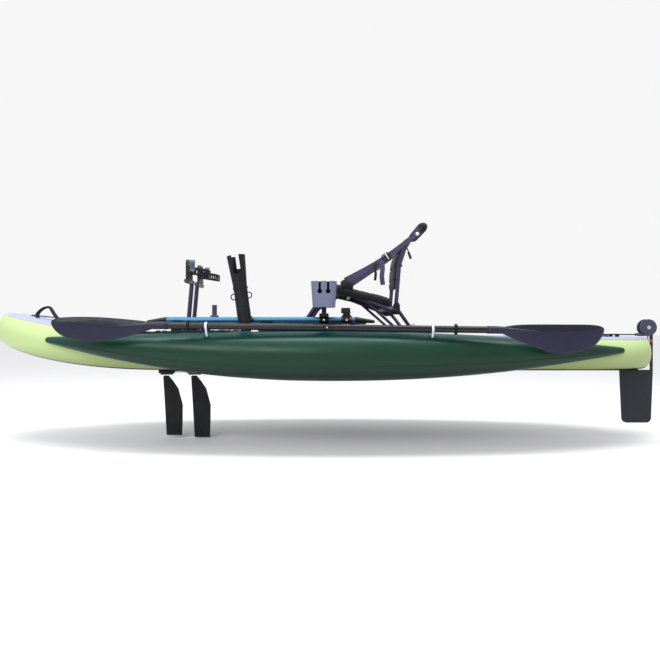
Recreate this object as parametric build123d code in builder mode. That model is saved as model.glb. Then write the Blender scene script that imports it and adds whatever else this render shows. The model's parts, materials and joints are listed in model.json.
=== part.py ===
from build123d import *
import os
from math import cos, pi, sin, sqrt

# Inflatable pedal kayak. Millimetres; +X to the stern, +Z up, port is -Y.
# Z = 0 is the flat underside of the hull, and the origin is amidships on it.

os.makedirs("parts", exist_ok=True)

# ---------------------------------------------------------------- driving dimensions

# Drop-stitch board
BOARD_LENGTH = 3365.0
BOARD_WIDTH = 532.0
BOARD_THICKNESS = 162.0
BOW_SECTION = 980.0          # the curved front part
STERN_SECTION = 500.0        # the rounded rear part
BOW_LIFT = 140.0             # how far the bottom and the deck rise at the tip
NOSE_DROP = 40.0             # the nose points a little below the middle of the bow
SKID_THICKNESS = 3.0
DECK_PAD_THICKNESS = 5.0

# Side tubes
TUBE_RADIUS = 114.0
TUBE_TIP_RADIUS = 15.0
TUBE_TOP = 195.0
TUBE_FRONT_SETBACK = 370.0   # from the bow to the front tip
TUBE_REAR_SETBACK = 262.0    # from the stern to the rear tip
TUBE_SEAM = 1.5              # tape between board and tube

# Accessory rails
RAIL_RADIUS = 14.0
RAIL_SPREAD = 305.0          # from the centreline
RAIL_HEIGHT = 247.0
RAIL_LENGTH = 884.0
RAIL_FRONT_SETBACK = 948.0   # from the bow
RAIL_CAP_LENGTH = 92.0
CLAMP_GAP = 0.05

# Rod holder and cup holder
ROD_BORE_RADIUS = 25.5
ROD_WALL = 6.0
ROD_LENGTH = 330.0
ROD_LEAN = 7.8               # degrees, top towards the bow
ROD_SPREAD = 360.0
CUP_RADIUS = 60.0
CUP_WALL = 4.0
CUP_HEIGHT = 118.0
CUP_SPREAD = 342.0

# Pedal drive
DRIVE_SETBACK = 930.0        # from the bow to the middle of the well
WELL_LENGTH = 290.0
WELL_WIDTH = 76.0
WELL_WALL = 8.0
CRANK_LENGTH = 226.0
CRANK_RADIUS = 11.0
CRANK_SPREAD = 60.0
CRANK_HUB_RADIUS = 23.0
PEDAL_WIDTH = 100.0
PEDAL_HEIGHT = 108.0
PEDAL_THICKNESS = 12.0
FIN_SPAN = 311.0
FIN_CHORD = 95.0
FIN_THICKNESS = 9.0
FIN_SPACING = 146.0
DRUM_RADIUS = 18.0
DRUM_LENGTH = 60.0
MAST_RADIUS = 4.0

# Rudder
RUDDER_DISC_RADIUS = 43.0
RUDDER_DEPTH = 284.0         # below the hull
RUDDER_CHORD = 172.0
RUDDER_THICKNESS = 10.0

# Seat
SEAT_SPREAD = 186.0          # centreline to the middle of a side rail
SEAT_TUBE_RADIUS = 13.0
SEAT_REAR_SETBACK = 2045.0   # from the bow to the back's pivot
BACK_SPREAD = 131.0
BACK_TUBE_RADIUS = 10.0
BACK_TOP_SPREAD = 176.0
SEAT_PAD_THICKNESS = 22.0
BACK_PAD_THICKNESS = 26.0

# Paddle
PADDLE_LENGTH = 2455.0
PADDLE_SETBACK = 475.0       # from the bow to the front blade's tip
PADDLE_SHAFT_RADIUS = 15.5
PADDLE_BLADE_LENGTH = 470.0
BLADE_RISE = 31.0            # from the shaft's middle to a blade's upper edge
FRONT_BLADE_DROP = 79.0      # and to its lower edge; the rear blade is turned more
REAR_BLADE_DROP = 102.0
BLADE_THICKNESS = 8.0
PADDLE_CLEAR = 4.0           # between a blade and the tube's widest line beside it
PADDLE_FRONT_HEIGHT = 227.0  # the shaft's middle line at the front blade's tip
PADDLE_REAR_HEIGHT = 194.0
RING_SETBACK = 606.0         # drip ring, from the front tip
REAR_RING_SETBACK = 655.5    # and from the rear tip

# Fits
RUNNING = 0.05               # radial clearance of a turning pin
APART = 0.6                  # between pieces of different bodies

# ---------------------------------------------------------------- places that follow

BOW_X = -1700.0
STERN_X = BOW_X + BOARD_LENGTH
HALF_BOARD = BOARD_WIDTH / 2
DECK_Z = SKID_THICKNESS + BOARD_THICKNESS
PAD_Z = DECK_Z + DECK_PAD_THICKNESS
DRIVE_X = BOW_X + DRIVE_SETBACK
SEAT_X = BOW_X + SEAT_REAR_SETBACK
RAIL_X = BOW_X + RAIL_FRONT_SETBACK
SIDES = (("port", -1), ("starboard", 1))


def board_half_width(x):
    """Half the board's width at a station: full amidships, rounded to both ends."""
    from_bow = 1 - (x - BOW_X) / BOW_SECTION
    from_stern = 1 - (STERN_X - x) / STERN_SECTION
    bow = sqrt(1 - max(from_bow, 0) ** 4)
    stern = sqrt(1 - max(from_stern, 0) ** 3)
    return HALF_BOARD * min(bow, stern)


def board_section(x):
    """Half width, thickness and middle height of the board at a station."""
    setback = x - BOW_X
    rise = max(1 - setback / BOW_SECTION, 0)
    bottom = SKID_THICKNESS + BOW_LIFT * rise ** 2.6
    deck = DECK_Z + BOW_LIFT * rise ** 1.5
    nose = max(1 - setback / 85.0, 0)
    tail = max(1 - (STERN_X - x) / 60.0, 0)
    thickness = (deck - bottom) * sqrt(1 - nose**2) * (1 - tail**4) ** 0.25
    middle = (deck + bottom) / 2 - NOSE_DROP * nose**2
    return board_half_width(x), thickness, middle


def deck_height(x):
    """Height of the board's top skin on the centreline."""
    half_width, thickness, middle = board_section(x)
    return middle + thickness / 2


def board_slice(x):
    """One cross-section of the board: a slot with half-round rails."""
    half_width, thickness, middle = board_section(x)
    with BuildSketch(Plane(origin=(x, 0, middle), x_dir=(0, 1, 0), z_dir=(1, 0, 0))) as section:
        SlotOverall(max(2 * half_width, thickness + 1), thickness)
    return section.sketch


def tube_station(share):
    """Place and radius of a side tube at a share of its length from the front tip."""
    front = BOW_X + TUBE_FRONT_SETBACK
    length = STERN_X - TUBE_REAR_SETBACK - front
    x = front + share * length
    widest = 0.49
    away = (widest - share) / widest if share < widest else (share - widest) / (1 - widest)
    radius = TUBE_TIP_RADIUS + (TUBE_RADIUS - TUBE_TIP_RADIUS) * (1 - away**2.1) ** 1.05
    droop = (28.0 if share < widest else 78.0) * away**2
    middle = TUBE_TOP - droop - radius
    return x, board_half_width(x) + radius + TUBE_SEAM, middle, radius


def bar(start, end, radius):
    """Straight round bar between two points."""
    along = Vector(*end) - Vector(*start)
    with BuildSketch(Plane(origin=start, z_dir=along)) as section:
        Circle(radius)
    extrude(section.sketch, amount=along.length)


def bent_bar(points, bend, radius):
    """Round bar along straight runs joined by bends."""
    with BuildLine() as route:
        FilletPolyline(*points, radius=bend)
    with BuildSketch(Plane(origin=route.line @ 0, z_dir=route.line % 0)) as section:
        Circle(radius)
    sweep(section.sketch, path=route.line)


def drum(x, y, z, radius, width, mode=Mode.ADD):
    """Round disc with its axis across the boat, centred on a point."""
    with BuildSketch(Plane(origin=(x, y - width / 2, z), x_dir=(1, 0, 0), z_dir=(0, 1, 0))) as section:
        Circle(radius)
    extrude(section.sketch, amount=width, mode=mode)


def side_plate(outline, y, thickness, mode=Mode.ADD):
    """Flat plate standing fore and aft, drawn in side view as (x, z) points."""
    with BuildSketch(Plane(origin=(0, y + thickness / 2, 0), x_dir=(1, 0, 0), z_dir=(0, -1, 0))) as section:
        with BuildLine():
            Polyline(*outline, close=True)
        make_face()
    extrude(section.sketch, amount=thickness, mode=mode)


# ---------------------------------------------------------------- hull

BOW_STEPS = (1, 6, 16, 32, 56, 90, 140, 210, 300, 410, 540, 690, 840, BOW_SECTION)
STERN_STEPS = (STERN_SECTION, 400, 300, 220, 150, 95, 60, 35, 18, 7, 1)
WELL_X = DRIVE_X
WELL_OPEN_LENGTH = WELL_LENGTH + 2 * WELL_WALL
WELL_OPEN_WIDTH = WELL_WIDTH + 2 * WELL_WALL
WELL_CORNER = 20.0

with BuildPart() as board:
    loft([board_slice(BOW_X + step) for step in BOW_STEPS], ruled=True)
    extrude(board_slice(BOW_X + BOW_SECTION), amount=BOARD_LENGTH - BOW_SECTION - STERN_SECTION)
    loft([board_slice(STERN_X - step) for step in STERN_STEPS], ruled=True)
    with BuildSketch(Plane.XY):
        with Locations((WELL_X, 0)):
            RectangleRounded(WELL_OPEN_LENGTH, WELL_OPEN_WIDTH, WELL_CORNER)
    extrude(amount=2 * BOARD_THICKNESS, mode=Mode.SUBTRACT)
board.part.label = "drop_stitch_board"
export_step(board.part, "parts/drop_stitch_board.step")

SKID_START = DRIVE_X + WELL_OPEN_LENGTH / 2 + 60
SKID_END = STERN_X - 100
SKID_WIDTH = 330.0

with BuildPart() as skid:
    with BuildSketch(Plane.XY):
        with Locations(((SKID_START + SKID_END) / 2, 0)):
            RectangleRounded(SKID_END - SKID_START, SKID_WIDTH, 60)
    extrude(amount=SKID_THICKNESS)
skid.part.label = "skid_patch"
export_step(skid.part, "parts/skid_patch.step")

PAD_FRONT = DRIVE_X + WELL_OPEN_LENGTH / 2 + 40
PAD_REAR = STERN_X - 620
PAD_WIDTH = 330.0
STERN_PAD_LENGTH = 330.0
STERN_PAD_WIDTH = 230.0

with BuildPart() as deck_pad:
    with BuildSketch(Plane.XY.offset(DECK_Z)):
        with Locations(((PAD_FRONT + PAD_REAR) / 2, 0)):
            RectangleRounded(PAD_REAR - PAD_FRONT, PAD_WIDTH, 40)
    extrude(amount=DECK_PAD_THICKNESS)
deck_pad.part.label = "cockpit_deck_pad"
export_step(deck_pad.part, "parts/cockpit_deck_pad.step")

with BuildPart() as stern_pad:
    with BuildSketch(Plane.XY.offset(DECK_Z)):
        with Locations((PAD_REAR + 40 + STERN_PAD_LENGTH / 2, 0)):
            RectangleRounded(STERN_PAD_LENGTH, STERN_PAD_WIDTH, 40)
    extrude(amount=DECK_PAD_THICKNESS)
stern_pad.part.label = "stern_deck_pad"
export_step(stern_pad.part, "parts/stern_deck_pad.step")

TUBE_STEPS = 28

with BuildPart() as port_tube:
    for step in range(TUBE_STEPS + 1):
        # The steps are closer together near the tapering tips.
        share = (1 - cos(pi * step / TUBE_STEPS)) / 2
        x, spread, middle, radius = tube_station(share)
        with BuildSketch(Plane(origin=(x, -spread, middle), x_dir=(0, 1, 0), z_dir=(1, 0, 0))):
            Circle(radius)
    loft(ruled=True)
port_tube.part.label = "port_side_tube"
export_step(port_tube.part, "parts/port_side_tube.step")

with BuildPart() as starboard_tube:
    mirror(port_tube.part, about=Plane.XZ)
starboard_tube.part.label = "starboard_side_tube"
export_step(starboard_tube.part, "parts/starboard_side_tube.step")

WELL_BOTTOM = 12.0
WELL_FLANGE = 22.0
WELL_FLANGE_THICKNESS = 5.0
WELL_FLANGE_Z = deck_height(DRIVE_X - WELL_OPEN_LENGTH / 2 - WELL_FLANGE) + 0.5

with BuildPart() as well:
    with BuildSketch(Plane.XY.offset(WELL_BOTTOM)):
        with Locations((WELL_X, 0)):
            RectangleRounded(WELL_OPEN_LENGTH - 1, WELL_OPEN_WIDTH - 1, WELL_CORNER - 0.5)
    extrude(amount=WELL_FLANGE_Z - WELL_BOTTOM)
    with BuildSketch(Plane.XY.offset(WELL_FLANGE_Z)):
        with Locations((WELL_X, 0)):
            RectangleRounded(WELL_OPEN_LENGTH + 2 * WELL_FLANGE, WELL_OPEN_WIDTH + 2 * WELL_FLANGE, 30)
    extrude(amount=WELL_FLANGE_THICKNESS)
    with BuildSketch(Plane.XY):
        with Locations((WELL_X, 0)):
            RectangleRounded(WELL_LENGTH, WELL_WIDTH, WELL_CORNER - WELL_WALL)
    extrude(amount=2 * BOARD_THICKNESS, mode=Mode.SUBTRACT)
    add(board.part, mode=Mode.SUBTRACT)
well.part.label = "drive_well"
export_step(well.part, "parts/drive_well.step")
WELL_TOP = WELL_FLANGE_Z + WELL_FLANGE_THICKNESS

# Bow handle: a webbing loop across the foredeck on two stitched patches.
HANDLE_SETBACK = 240.0
HANDLE_REACH = 58.0
HANDLE_RISE = 64.0
WEBBING = 3.0
HANDLE_WIDTH = 32.0
handle_x = BOW_X + HANDLE_SETBACK
front_foot = (handle_x - HANDLE_REACH, deck_height(handle_x - HANDLE_REACH) + 1)
rear_foot = (handle_x + HANDLE_REACH, deck_height(handle_x + HANDLE_REACH) + 1)
handle_top = deck_height(handle_x) + HANDLE_RISE

with BuildPart() as bow_handle:
    with BuildSketch(Plane(origin=(0, HANDLE_WIDTH / 2, 0), x_dir=(1, 0, 0), z_dir=(0, -1, 0))):
        with BuildLine():
            Polyline(
                (front_foot[0] - 22, front_foot[1] + 6),
                (front_foot[0], front_foot[1] + 3),
                (handle_x - 12, handle_top - WEBBING),
                (handle_x + 14, handle_top - WEBBING),
                (rear_foot[0], rear_foot[1] + 3),
                (rear_foot[0] + 22, rear_foot[1] - 1),
                (rear_foot[0] + 22, rear_foot[1] + WEBBING - 1),
                (rear_foot[0] + 2, rear_foot[1] + WEBBING + 4),
                (handle_x + 15, handle_top),
                (handle_x - 14, handle_top),
                (front_foot[0] - 2, front_foot[1] + WEBBING + 4),
                (front_foot[0] - 22, front_foot[1] + WEBBING + 6),
                close=True,
            )
        make_face()
    extrude(amount=HANDLE_WIDTH)
bow_handle.part.label = "bow_handle"
export_step(bow_handle.part, "parts/bow_handle.step")

# Bungee laced over each end on small ring patches.
CORD_RADIUS = 3.0
RING_HEIGHT = 10.0
BOW_LACE = ((235, -95), (330, 130), (430, -150), (530, 160))
STERN_LACE = ((480, -148), (400, 148), (330, -148), (262, 140))


def lace_points(places):
    """Points of a laced cord a little above the deck, from (station, across) pairs."""
    return [(x, y, deck_height(x) + RING_HEIGHT + CORD_RADIUS + 2) for x, y in places]


bow_lace = lace_points([(BOW_X + setback, y) for setback, y in BOW_LACE])
stern_lace = lace_points([(STERN_X - setback, y) for setback, y in STERN_LACE])

with BuildPart() as bow_bungee:
    bent_bar(bow_lace, 9, CORD_RADIUS)
bow_bungee.part.label = "bow_bungee"
export_step(bow_bungee.part, "parts/bow_bungee.step")

with BuildPart() as stern_bungee:
    bent_bar(stern_lace, 9, CORD_RADIUS)
stern_bungee.part.label = "stern_bungee"
export_step(stern_bungee.part, "parts/stern_bungee.step")

with BuildPart() as lace_rings:
    for x, y, z in bow_lace + stern_lace:
        foot_z = z - CORD_RADIUS - RING_HEIGHT - 1
        with Locations((x, y, foot_z)):
            Cylinder(13, 3, align=(Align.CENTER, Align.CENTER, Align.MIN))
        with Locations((x, y, foot_z + 3)):
            Cylinder(6, RING_HEIGHT - 2.5, align=(Align.CENTER, Align.CENTER, Align.MIN))
    add(board.part, mode=Mode.SUBTRACT)
lace_rings.part.label = "bungee_anchors"
export_step(lace_rings.part, "parts/bungee_anchors.step")

# Three inflation valves: one for the board and one in each side tube.
VALVE_RADIUS = 24.0
VALVE_HEIGHT = 9.0
VALVE_SHARE = 0.86

with BuildPart() as valves:
    with Locations((STERN_X - 215, 0, DECK_Z)):
        Cylinder(VALVE_RADIUS, VALVE_HEIGHT, align=(Align.CENTER, Align.CENTER, Align.MIN))
    valve_x, valve_spread, valve_middle, valve_tube = tube_station(VALVE_SHARE)
    for side, hand in SIDES:
        with Locations((valve_x, hand * valve_spread, valve_middle + valve_tube - 4)):
            Cylinder(VALVE_RADIUS, VALVE_HEIGHT + 4, align=(Align.CENTER, Align.CENTER, Align.MIN))
    add(port_tube.part, mode=Mode.SUBTRACT)
    add(starboard_tube.part, mode=Mode.SUBTRACT)
valves.part.label = "inflation_valves"
export_step(valves.part, "parts/inflation_valves.step")

# ---------------------------------------------------------------- accessory rails

RAIL_END = RAIL_X + RAIL_LENGTH
BRACKET_WIDTH = 44.0
BRACKET_LENGTH = 50.0
BRACKET_PLACES = (RAIL_X + 50, RAIL_X + 0.53 * RAIL_LENGTH, RAIL_END - 92)
BRACKET_DEPTH = 90.0

for side, hand in SIDES:
    tube = port_tube if hand < 0 else starboard_tube
    spread = hand * RAIL_SPREAD
    with BuildPart() as rail:
        with BuildSketch(Plane(origin=(RAIL_X, spread, RAIL_HEIGHT), x_dir=(0, 1, 0), z_dir=(1, 0, 0))):
            RegularPolygon(RAIL_RADIUS, 12)
        extrude(amount=RAIL_LENGTH)
    rail.part.label = f"{side}_rail"
    export_step(rail.part, f"parts/{side}_rail.step")

    with BuildPart() as brackets:
        for x in BRACKET_PLACES:
            with Locations((x, spread + hand * 8, RAIL_HEIGHT - RAIL_RADIUS + 4)):
                Box(BRACKET_LENGTH, BRACKET_WIDTH, BRACKET_DEPTH, align=(Align.CENTER, Align.CENTER, Align.MAX))
        chamfer(brackets.edges().filter_by(Axis.Z), 6)
        add(tube.part, mode=Mode.SUBTRACT)
        add(board.part, mode=Mode.SUBTRACT)
        add(rail.part, mode=Mode.SUBTRACT)
        with BuildSketch(Plane.XY):
            Rectangle(2 * BOARD_LENGTH, 2 * BOARD_WIDTH)
        extrude(amount=DECK_Z - 40, mode=Mode.SUBTRACT)
    brackets.part.label = f"{side}_rail_brackets"
    export_step(brackets.part, f"parts/{side}_rail_brackets.step")

with BuildPart() as rail_caps:
    for side, hand in SIDES:
        for x, way in ((RAIL_X, -1), (RAIL_END, 1)):
            rail_end = Plane(origin=(x, hand * RAIL_SPREAD, RAIL_HEIGHT), x_dir=(0, 1, 0), z_dir=(way, 0, 0))
            with BuildSketch(rail_end):
                Circle(RAIL_RADIUS + 1.5)
            with BuildSketch(
                Plane(
                    origin=(x + way * RAIL_CAP_LENGTH, hand * RAIL_SPREAD, RAIL_HEIGHT - 8),
                    x_dir=(0, 1, 0),
                    z_dir=(way, 0, 0),
                )
            ):
                Circle(RAIL_RADIUS - 7)
            loft()
rail_caps.part.label = "rail_end_caps"
export_step(rail_caps.part, "parts/rail_end_caps.step")

# Rod holder: a clamp on the port rail carries a leaning tube on a tilt bolt.
ROD_X = RAIL_X + 373
ROD_PIVOT_Z = RAIL_HEIGHT
ROD_OUTER = ROD_BORE_RADIUS + ROD_WALL
ROD_BELOW = 32.0
ROD_HUB_RADIUS = 15.0
ROD_HUB_SUNK = ROD_WALL - 0.6   # into the wall, clear of the bore
ROD_HUB_WIDTH = ROD_HUB_SUNK + 1.25
lean = ROD_LEAN * pi / 180
rod_axis = Vector(-sin(lean), 0, cos(lean))
rod_foot = Vector(ROD_X, -ROD_SPREAD, ROD_PIVOT_Z) - rod_axis * ROD_BELOW
rod_plane = Plane(origin=rod_foot, x_dir=(0, 1, 0), z_dir=rod_axis)
rod_inner_side = ROD_SPREAD - ROD_OUTER
CLAMP_LENGTH = 52.0
CLAMP_WALL = 6.0

with BuildPart() as rod_clamp:
    with BuildSketch(
        Plane(origin=(ROD_X - CLAMP_LENGTH / 2, -RAIL_SPREAD, RAIL_HEIGHT), x_dir=(0, 1, 0), z_dir=(1, 0, 0))
    ):
        Circle(RAIL_RADIUS + CLAMP_WALL)
    extrude(amount=CLAMP_LENGTH)
    with BuildSketch(
        Plane(origin=(ROD_X - CLAMP_LENGTH, -RAIL_SPREAD, RAIL_HEIGHT), x_dir=(0, 1, 0), z_dir=(1, 0, 0))
    ):
        Circle(RAIL_RADIUS + CLAMP_GAP)
    extrude(amount=2 * CLAMP_LENGTH, mode=Mode.SUBTRACT)
    with BuildSketch(
        Plane(origin=(ROD_X, -RAIL_SPREAD + RAIL_RADIUS, RAIL_HEIGHT + 6), x_dir=(1, 0, 0), z_dir=(0, 1, 0))
    ):
        Rectangle(CLAMP_LENGTH * 0.6, 14)
    extrude(amount=16)
    split(bisect_by=Plane(origin=(0, -rod_inner_side + 2, 0), z_dir=(0, 1, 0)), keep=Keep.TOP)
rod_clamp.part.label = "rod_holder_clamp"
export_step(rod_clamp.part, "parts/rod_holder_clamp.step")

SLOT_WIDTH = 17.0
SCOOP_DEPTH = 88.0

ROD_STRAIGHT = 0.55 * ROD_LENGTH
ROD_FLARE = 11.0
MOUTH_X_DIR = Vector(cos(lean), 0, sin(lean))

with BuildPart() as rod_holder:
    with BuildSketch(Plane(origin=rod_foot, x_dir=MOUTH_X_DIR, z_dir=(0, -1, 0))) as rod_profile:
        with BuildLine():
            Polyline(
                (0, 0),
                (ROD_OUTER, 0),
                (ROD_OUTER, ROD_STRAIGHT),
                (ROD_OUTER + ROD_FLARE, ROD_LENGTH),
                (ROD_BORE_RADIUS + ROD_FLARE, ROD_LENGTH),
                (ROD_BORE_RADIUS, ROD_STRAIGHT),
                (ROD_BORE_RADIUS, 10),
                (0, 10),
                close=True,
            )
        make_face()
    revolve(axis=Axis(rod_foot, rod_axis))
    # The near wall is scooped low so that a reel can stand in it.
    with BuildSketch(Plane(origin=rod_foot, x_dir=MOUTH_X_DIR, z_dir=(0, -1, 0))):
        with Locations((0, ROD_LENGTH - SCOOP_DEPTH + SLOT_WIDTH)):
            Circle(SLOT_WIDTH)
        with Locations((0, ROD_LENGTH - SCOOP_DEPTH / 2 + SLOT_WIDTH)):
            Rectangle(2 * SLOT_WIDTH, SCOOP_DEPTH)
    extrude(amount=2 * ROD_OUTER, mode=Mode.SUBTRACT)
    # A narrower slot in the far wall takes the reel's foot.
    with BuildSketch(Plane(origin=rod_foot, x_dir=MOUTH_X_DIR, z_dir=(0, -1, 0))):
        with Locations((0, ROD_LENGTH - 28)):
            Rectangle(SLOT_WIDTH, 60)
    extrude(amount=-2 * ROD_OUTER, mode=Mode.SUBTRACT)
    # A raised collar where the straight tube ends.
    with BuildSketch(rod_plane.offset(ROD_STRAIGHT - 6)):
        Circle(ROD_OUTER + 3)
        Circle(ROD_OUTER - 1, mode=Mode.SUBTRACT)
    extrude(amount=9)
    # The tilt hub: a short boss towards the rail.
    drum(ROD_X, -rod_inner_side - ROD_HUB_SUNK + ROD_HUB_WIDTH / 2, ROD_PIVOT_Z, ROD_HUB_RADIUS, ROD_HUB_WIDTH)
rod_holder.part.label = "rod_holder"
export_step(rod_holder.part, "parts/rod_holder.step")

# Cup holder on a turning post.
CUP_X = RAIL_X + 738
CUP_FLOOR = 305.0
CUP_POST_RADIUS = 11.0
CUP_PIN_RADIUS = 6.0

with BuildPart() as cup_mount:
    with BuildSketch(
        Plane(origin=(CUP_X - 22, -RAIL_SPREAD, RAIL_HEIGHT), x_dir=(0, 1, 0), z_dir=(1, 0, 0))
    ):
        Circle(RAIL_RADIUS + CLAMP_WALL)
        with Locations(((RAIL_SPREAD - CUP_SPREAD) / 2, 22)):
            Rectangle(CUP_SPREAD - RAIL_SPREAD + 26, 16)
    extrude(amount=44)
    with BuildSketch(
        Plane(origin=(CUP_X - 40, -RAIL_SPREAD, RAIL_HEIGHT), x_dir=(0, 1, 0), z_dir=(1, 0, 0))
    ):
        Circle(RAIL_RADIUS + CLAMP_GAP)
    extrude(amount=80, mode=Mode.SUBTRACT)
    with BuildSketch(Plane.XY.offset(RAIL_HEIGHT + 30)):
        with Locations((CUP_X, -CUP_SPREAD)):
            Circle(CUP_POST_RADIUS)
    extrude(amount=CUP_FLOOR - APART - RAIL_HEIGHT - 30)
    with BuildSketch(Plane.XY.offset(CUP_FLOOR - APART)):
        with Locations((CUP_X, -CUP_SPREAD)):
            Circle(CUP_PIN_RADIUS)
    extrude(amount=10)
cup_mount.part.label = "cup_holder_mount"
export_step(cup_mount.part, "parts/cup_holder_mount.step")

CUP_FLOOR_THICKNESS = 14.0
KEYHOLE_WIDTH = 11.0
KEYHOLE_DEPTH = 46.0

with BuildPart() as cup_holder:
    with BuildSketch(Plane.XY.offset(CUP_FLOOR)):
        with Locations((CUP_X, -CUP_SPREAD)):
            RectangleRounded(2 * CUP_RADIUS - 16, 2 * CUP_RADIUS - 16, 34)
    with BuildSketch(Plane.XY.offset(CUP_FLOOR + CUP_HEIGHT)):
        with Locations((CUP_X, -CUP_SPREAD)):
            RectangleRounded(2 * CUP_RADIUS, 2 * CUP_RADIUS, 38)
    loft()
    with BuildSketch(Plane.XY.offset(CUP_FLOOR + CUP_FLOOR_THICKNESS)):
        with Locations((CUP_X, -CUP_SPREAD)):
            Circle(CUP_RADIUS - CUP_WALL - 8)
    extrude(amount=CUP_HEIGHT, mode=Mode.SUBTRACT)
    with BuildSketch(Plane.XY.offset(CUP_FLOOR - 1)):
        with Locations((CUP_X, -CUP_SPREAD)):
            Circle(CUP_PIN_RADIUS + RUNNING)
    extrude(amount=11.5, mode=Mode.SUBTRACT)
    # Two keyhole slots in the near wall leave a tongue between them.
    with BuildSketch(Plane(origin=(CUP_X, -CUP_SPREAD, 0), x_dir=(1, 0, 0), z_dir=(0, -1, 0))):
        for way in (-1, 1):
            with Locations((way * 19, CUP_FLOOR + CUP_HEIGHT - KEYHOLE_DEPTH)):
                Circle(KEYHOLE_WIDTH)
            with Locations((way * 19, CUP_FLOOR + CUP_HEIGHT - KEYHOLE_DEPTH / 2)):
                Rectangle(KEYHOLE_WIDTH, KEYHOLE_DEPTH + 2)
    extrude(amount=2 * CUP_RADIUS, mode=Mode.SUBTRACT)
cup_holder.part.label = "cup_holder"
export_step(cup_holder.part, "parts/cup_holder.step")

# A plain post stands on the starboard rail for other fittings.
POST_X = RAIL_X + 104

with BuildPart() as accessory_post:
    with BuildSketch(
        Plane(origin=(POST_X - 20, RAIL_SPREAD, RAIL_HEIGHT), x_dir=(0, 1, 0), z_dir=(1, 0, 0))
    ):
        Circle(RAIL_RADIUS + CLAMP_WALL)
    extrude(amount=40)
    with BuildSketch(
        Plane(origin=(POST_X - 40, RAIL_SPREAD, RAIL_HEIGHT), x_dir=(0, 1, 0), z_dir=(1, 0, 0))
    ):
        Circle(RAIL_RADIUS + CLAMP_GAP)
    extrude(amount=80, mode=Mode.SUBTRACT)
    with BuildSketch(Plane.XY.offset(RAIL_HEIGHT + RAIL_RADIUS + 3)):
        with Locations((POST_X, RAIL_SPREAD)):
            Circle(14)
    extrude(amount=80)
accessory_post.part.label = "accessory_post"
export_step(accessory_post.part, "parts/accessory_post.step")

# Steering handle: a small lever that turns on a base clamped to the port rail.
STEER_X = RAIL_X + RAIL_LENGTH - 40
STEER_BASE_TOP = RAIL_HEIGHT + 24
STEER_PIN_RADIUS = 6.0

with BuildPart() as steering_base:
    with BuildSketch(
        Plane(origin=(STEER_X - 24, -RAIL_SPREAD, RAIL_HEIGHT), x_dir=(0, 1, 0), z_dir=(1, 0, 0))
    ):
        Circle(RAIL_RADIUS + CLAMP_WALL)
    extrude(amount=48)
    with BuildSketch(Plane.XY.offset(RAIL_HEIGHT)):
        with Locations((STEER_X, -RAIL_SPREAD)):
            Circle(20)
    extrude(amount=STEER_BASE_TOP - RAIL_HEIGHT)
    with BuildSketch(Plane.XY.offset(STEER_BASE_TOP)):
        with Locations((STEER_X, -RAIL_SPREAD)):
            Circle(STEER_PIN_RADIUS)
    extrude(amount=10)
    with BuildSketch(
        Plane(origin=(STEER_X - 40, -RAIL_SPREAD, RAIL_HEIGHT), x_dir=(0, 1, 0), z_dir=(1, 0, 0))
    ):
        Circle(RAIL_RADIUS + CLAMP_GAP)
    extrude(amount=80, mode=Mode.SUBTRACT)
steering_base.part.label = "steering_base"
export_step(steering_base.part, "parts/steering_base.step")

with BuildPart() as steering_handle:
    with BuildSketch(Plane.XY.offset(STEER_BASE_TOP + APART)):
        with Locations((STEER_X, -RAIL_SPREAD)):
            Circle(17)
    extrude(amount=14)
    with BuildSketch(Plane.XY.offset(STEER_BASE_TOP + 8)):
        with Locations((STEER_X - 4, -RAIL_SPREAD)):
            SlotOverall(46, 13)
    extrude(amount=25, taper=6)
    with BuildSketch(Plane.XY.offset(STEER_BASE_TOP)):
        with Locations((STEER_X, -RAIL_SPREAD)):
            Circle(STEER_PIN_RADIUS + RUNNING)
    extrude(amount=10.5, mode=Mode.SUBTRACT)
steering_handle.part.label = "steering_handle"
export_step(steering_handle.part, "parts/steering_handle.step")

# ---------------------------------------------------------------- pedal drive

SPINE_HALF = 33.0
CRANK_X = DRIVE_X + 58
CRANK_Z = DECK_Z + 52
SHAFT_RADIUS = 8.0
FIN_AXIS_Z = -17.0
FIN_SHAFT_RADIUS = 5.0
KNEE_Z = FIN_AXIS_Z - 13
KNEE_PIN_RADIUS = 2.5
KNEE_RADIUS = 6.5
KNEE_WIDTH = 12.0
FRONT_MAST_X = DRIVE_X - 77
SPINE_BOTTOM = 6.0
LEG_THICKNESS = 10.0
LEG_HALF = 9.0              # half width, and the radius of its round end
DRUM_CLEAR = 1.5
DRUM_AHEAD = 20.0           # drum in front of the mast
SLOT_AHEAD = 10.0           # knee slot in front of the mast; it runs out at the rear
fin_roots = {"front": FRONT_MAST_X, "rear": FRONT_MAST_X + FIN_SPACING}
leg_places = [
    mast_x - DRUM_AHEAD + reach
    for mast_x in fin_roots.values()
    for reach in (-DRUM_CLEAR - LEG_THICKNESS / 2, DRUM_LENGTH + DRUM_CLEAR + LEG_THICKNESS / 2)
]
spine_front = leg_places[0] - LEG_THICKNESS / 2
spine_rear = leg_places[3] + LEG_THICKNESS / 2

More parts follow.
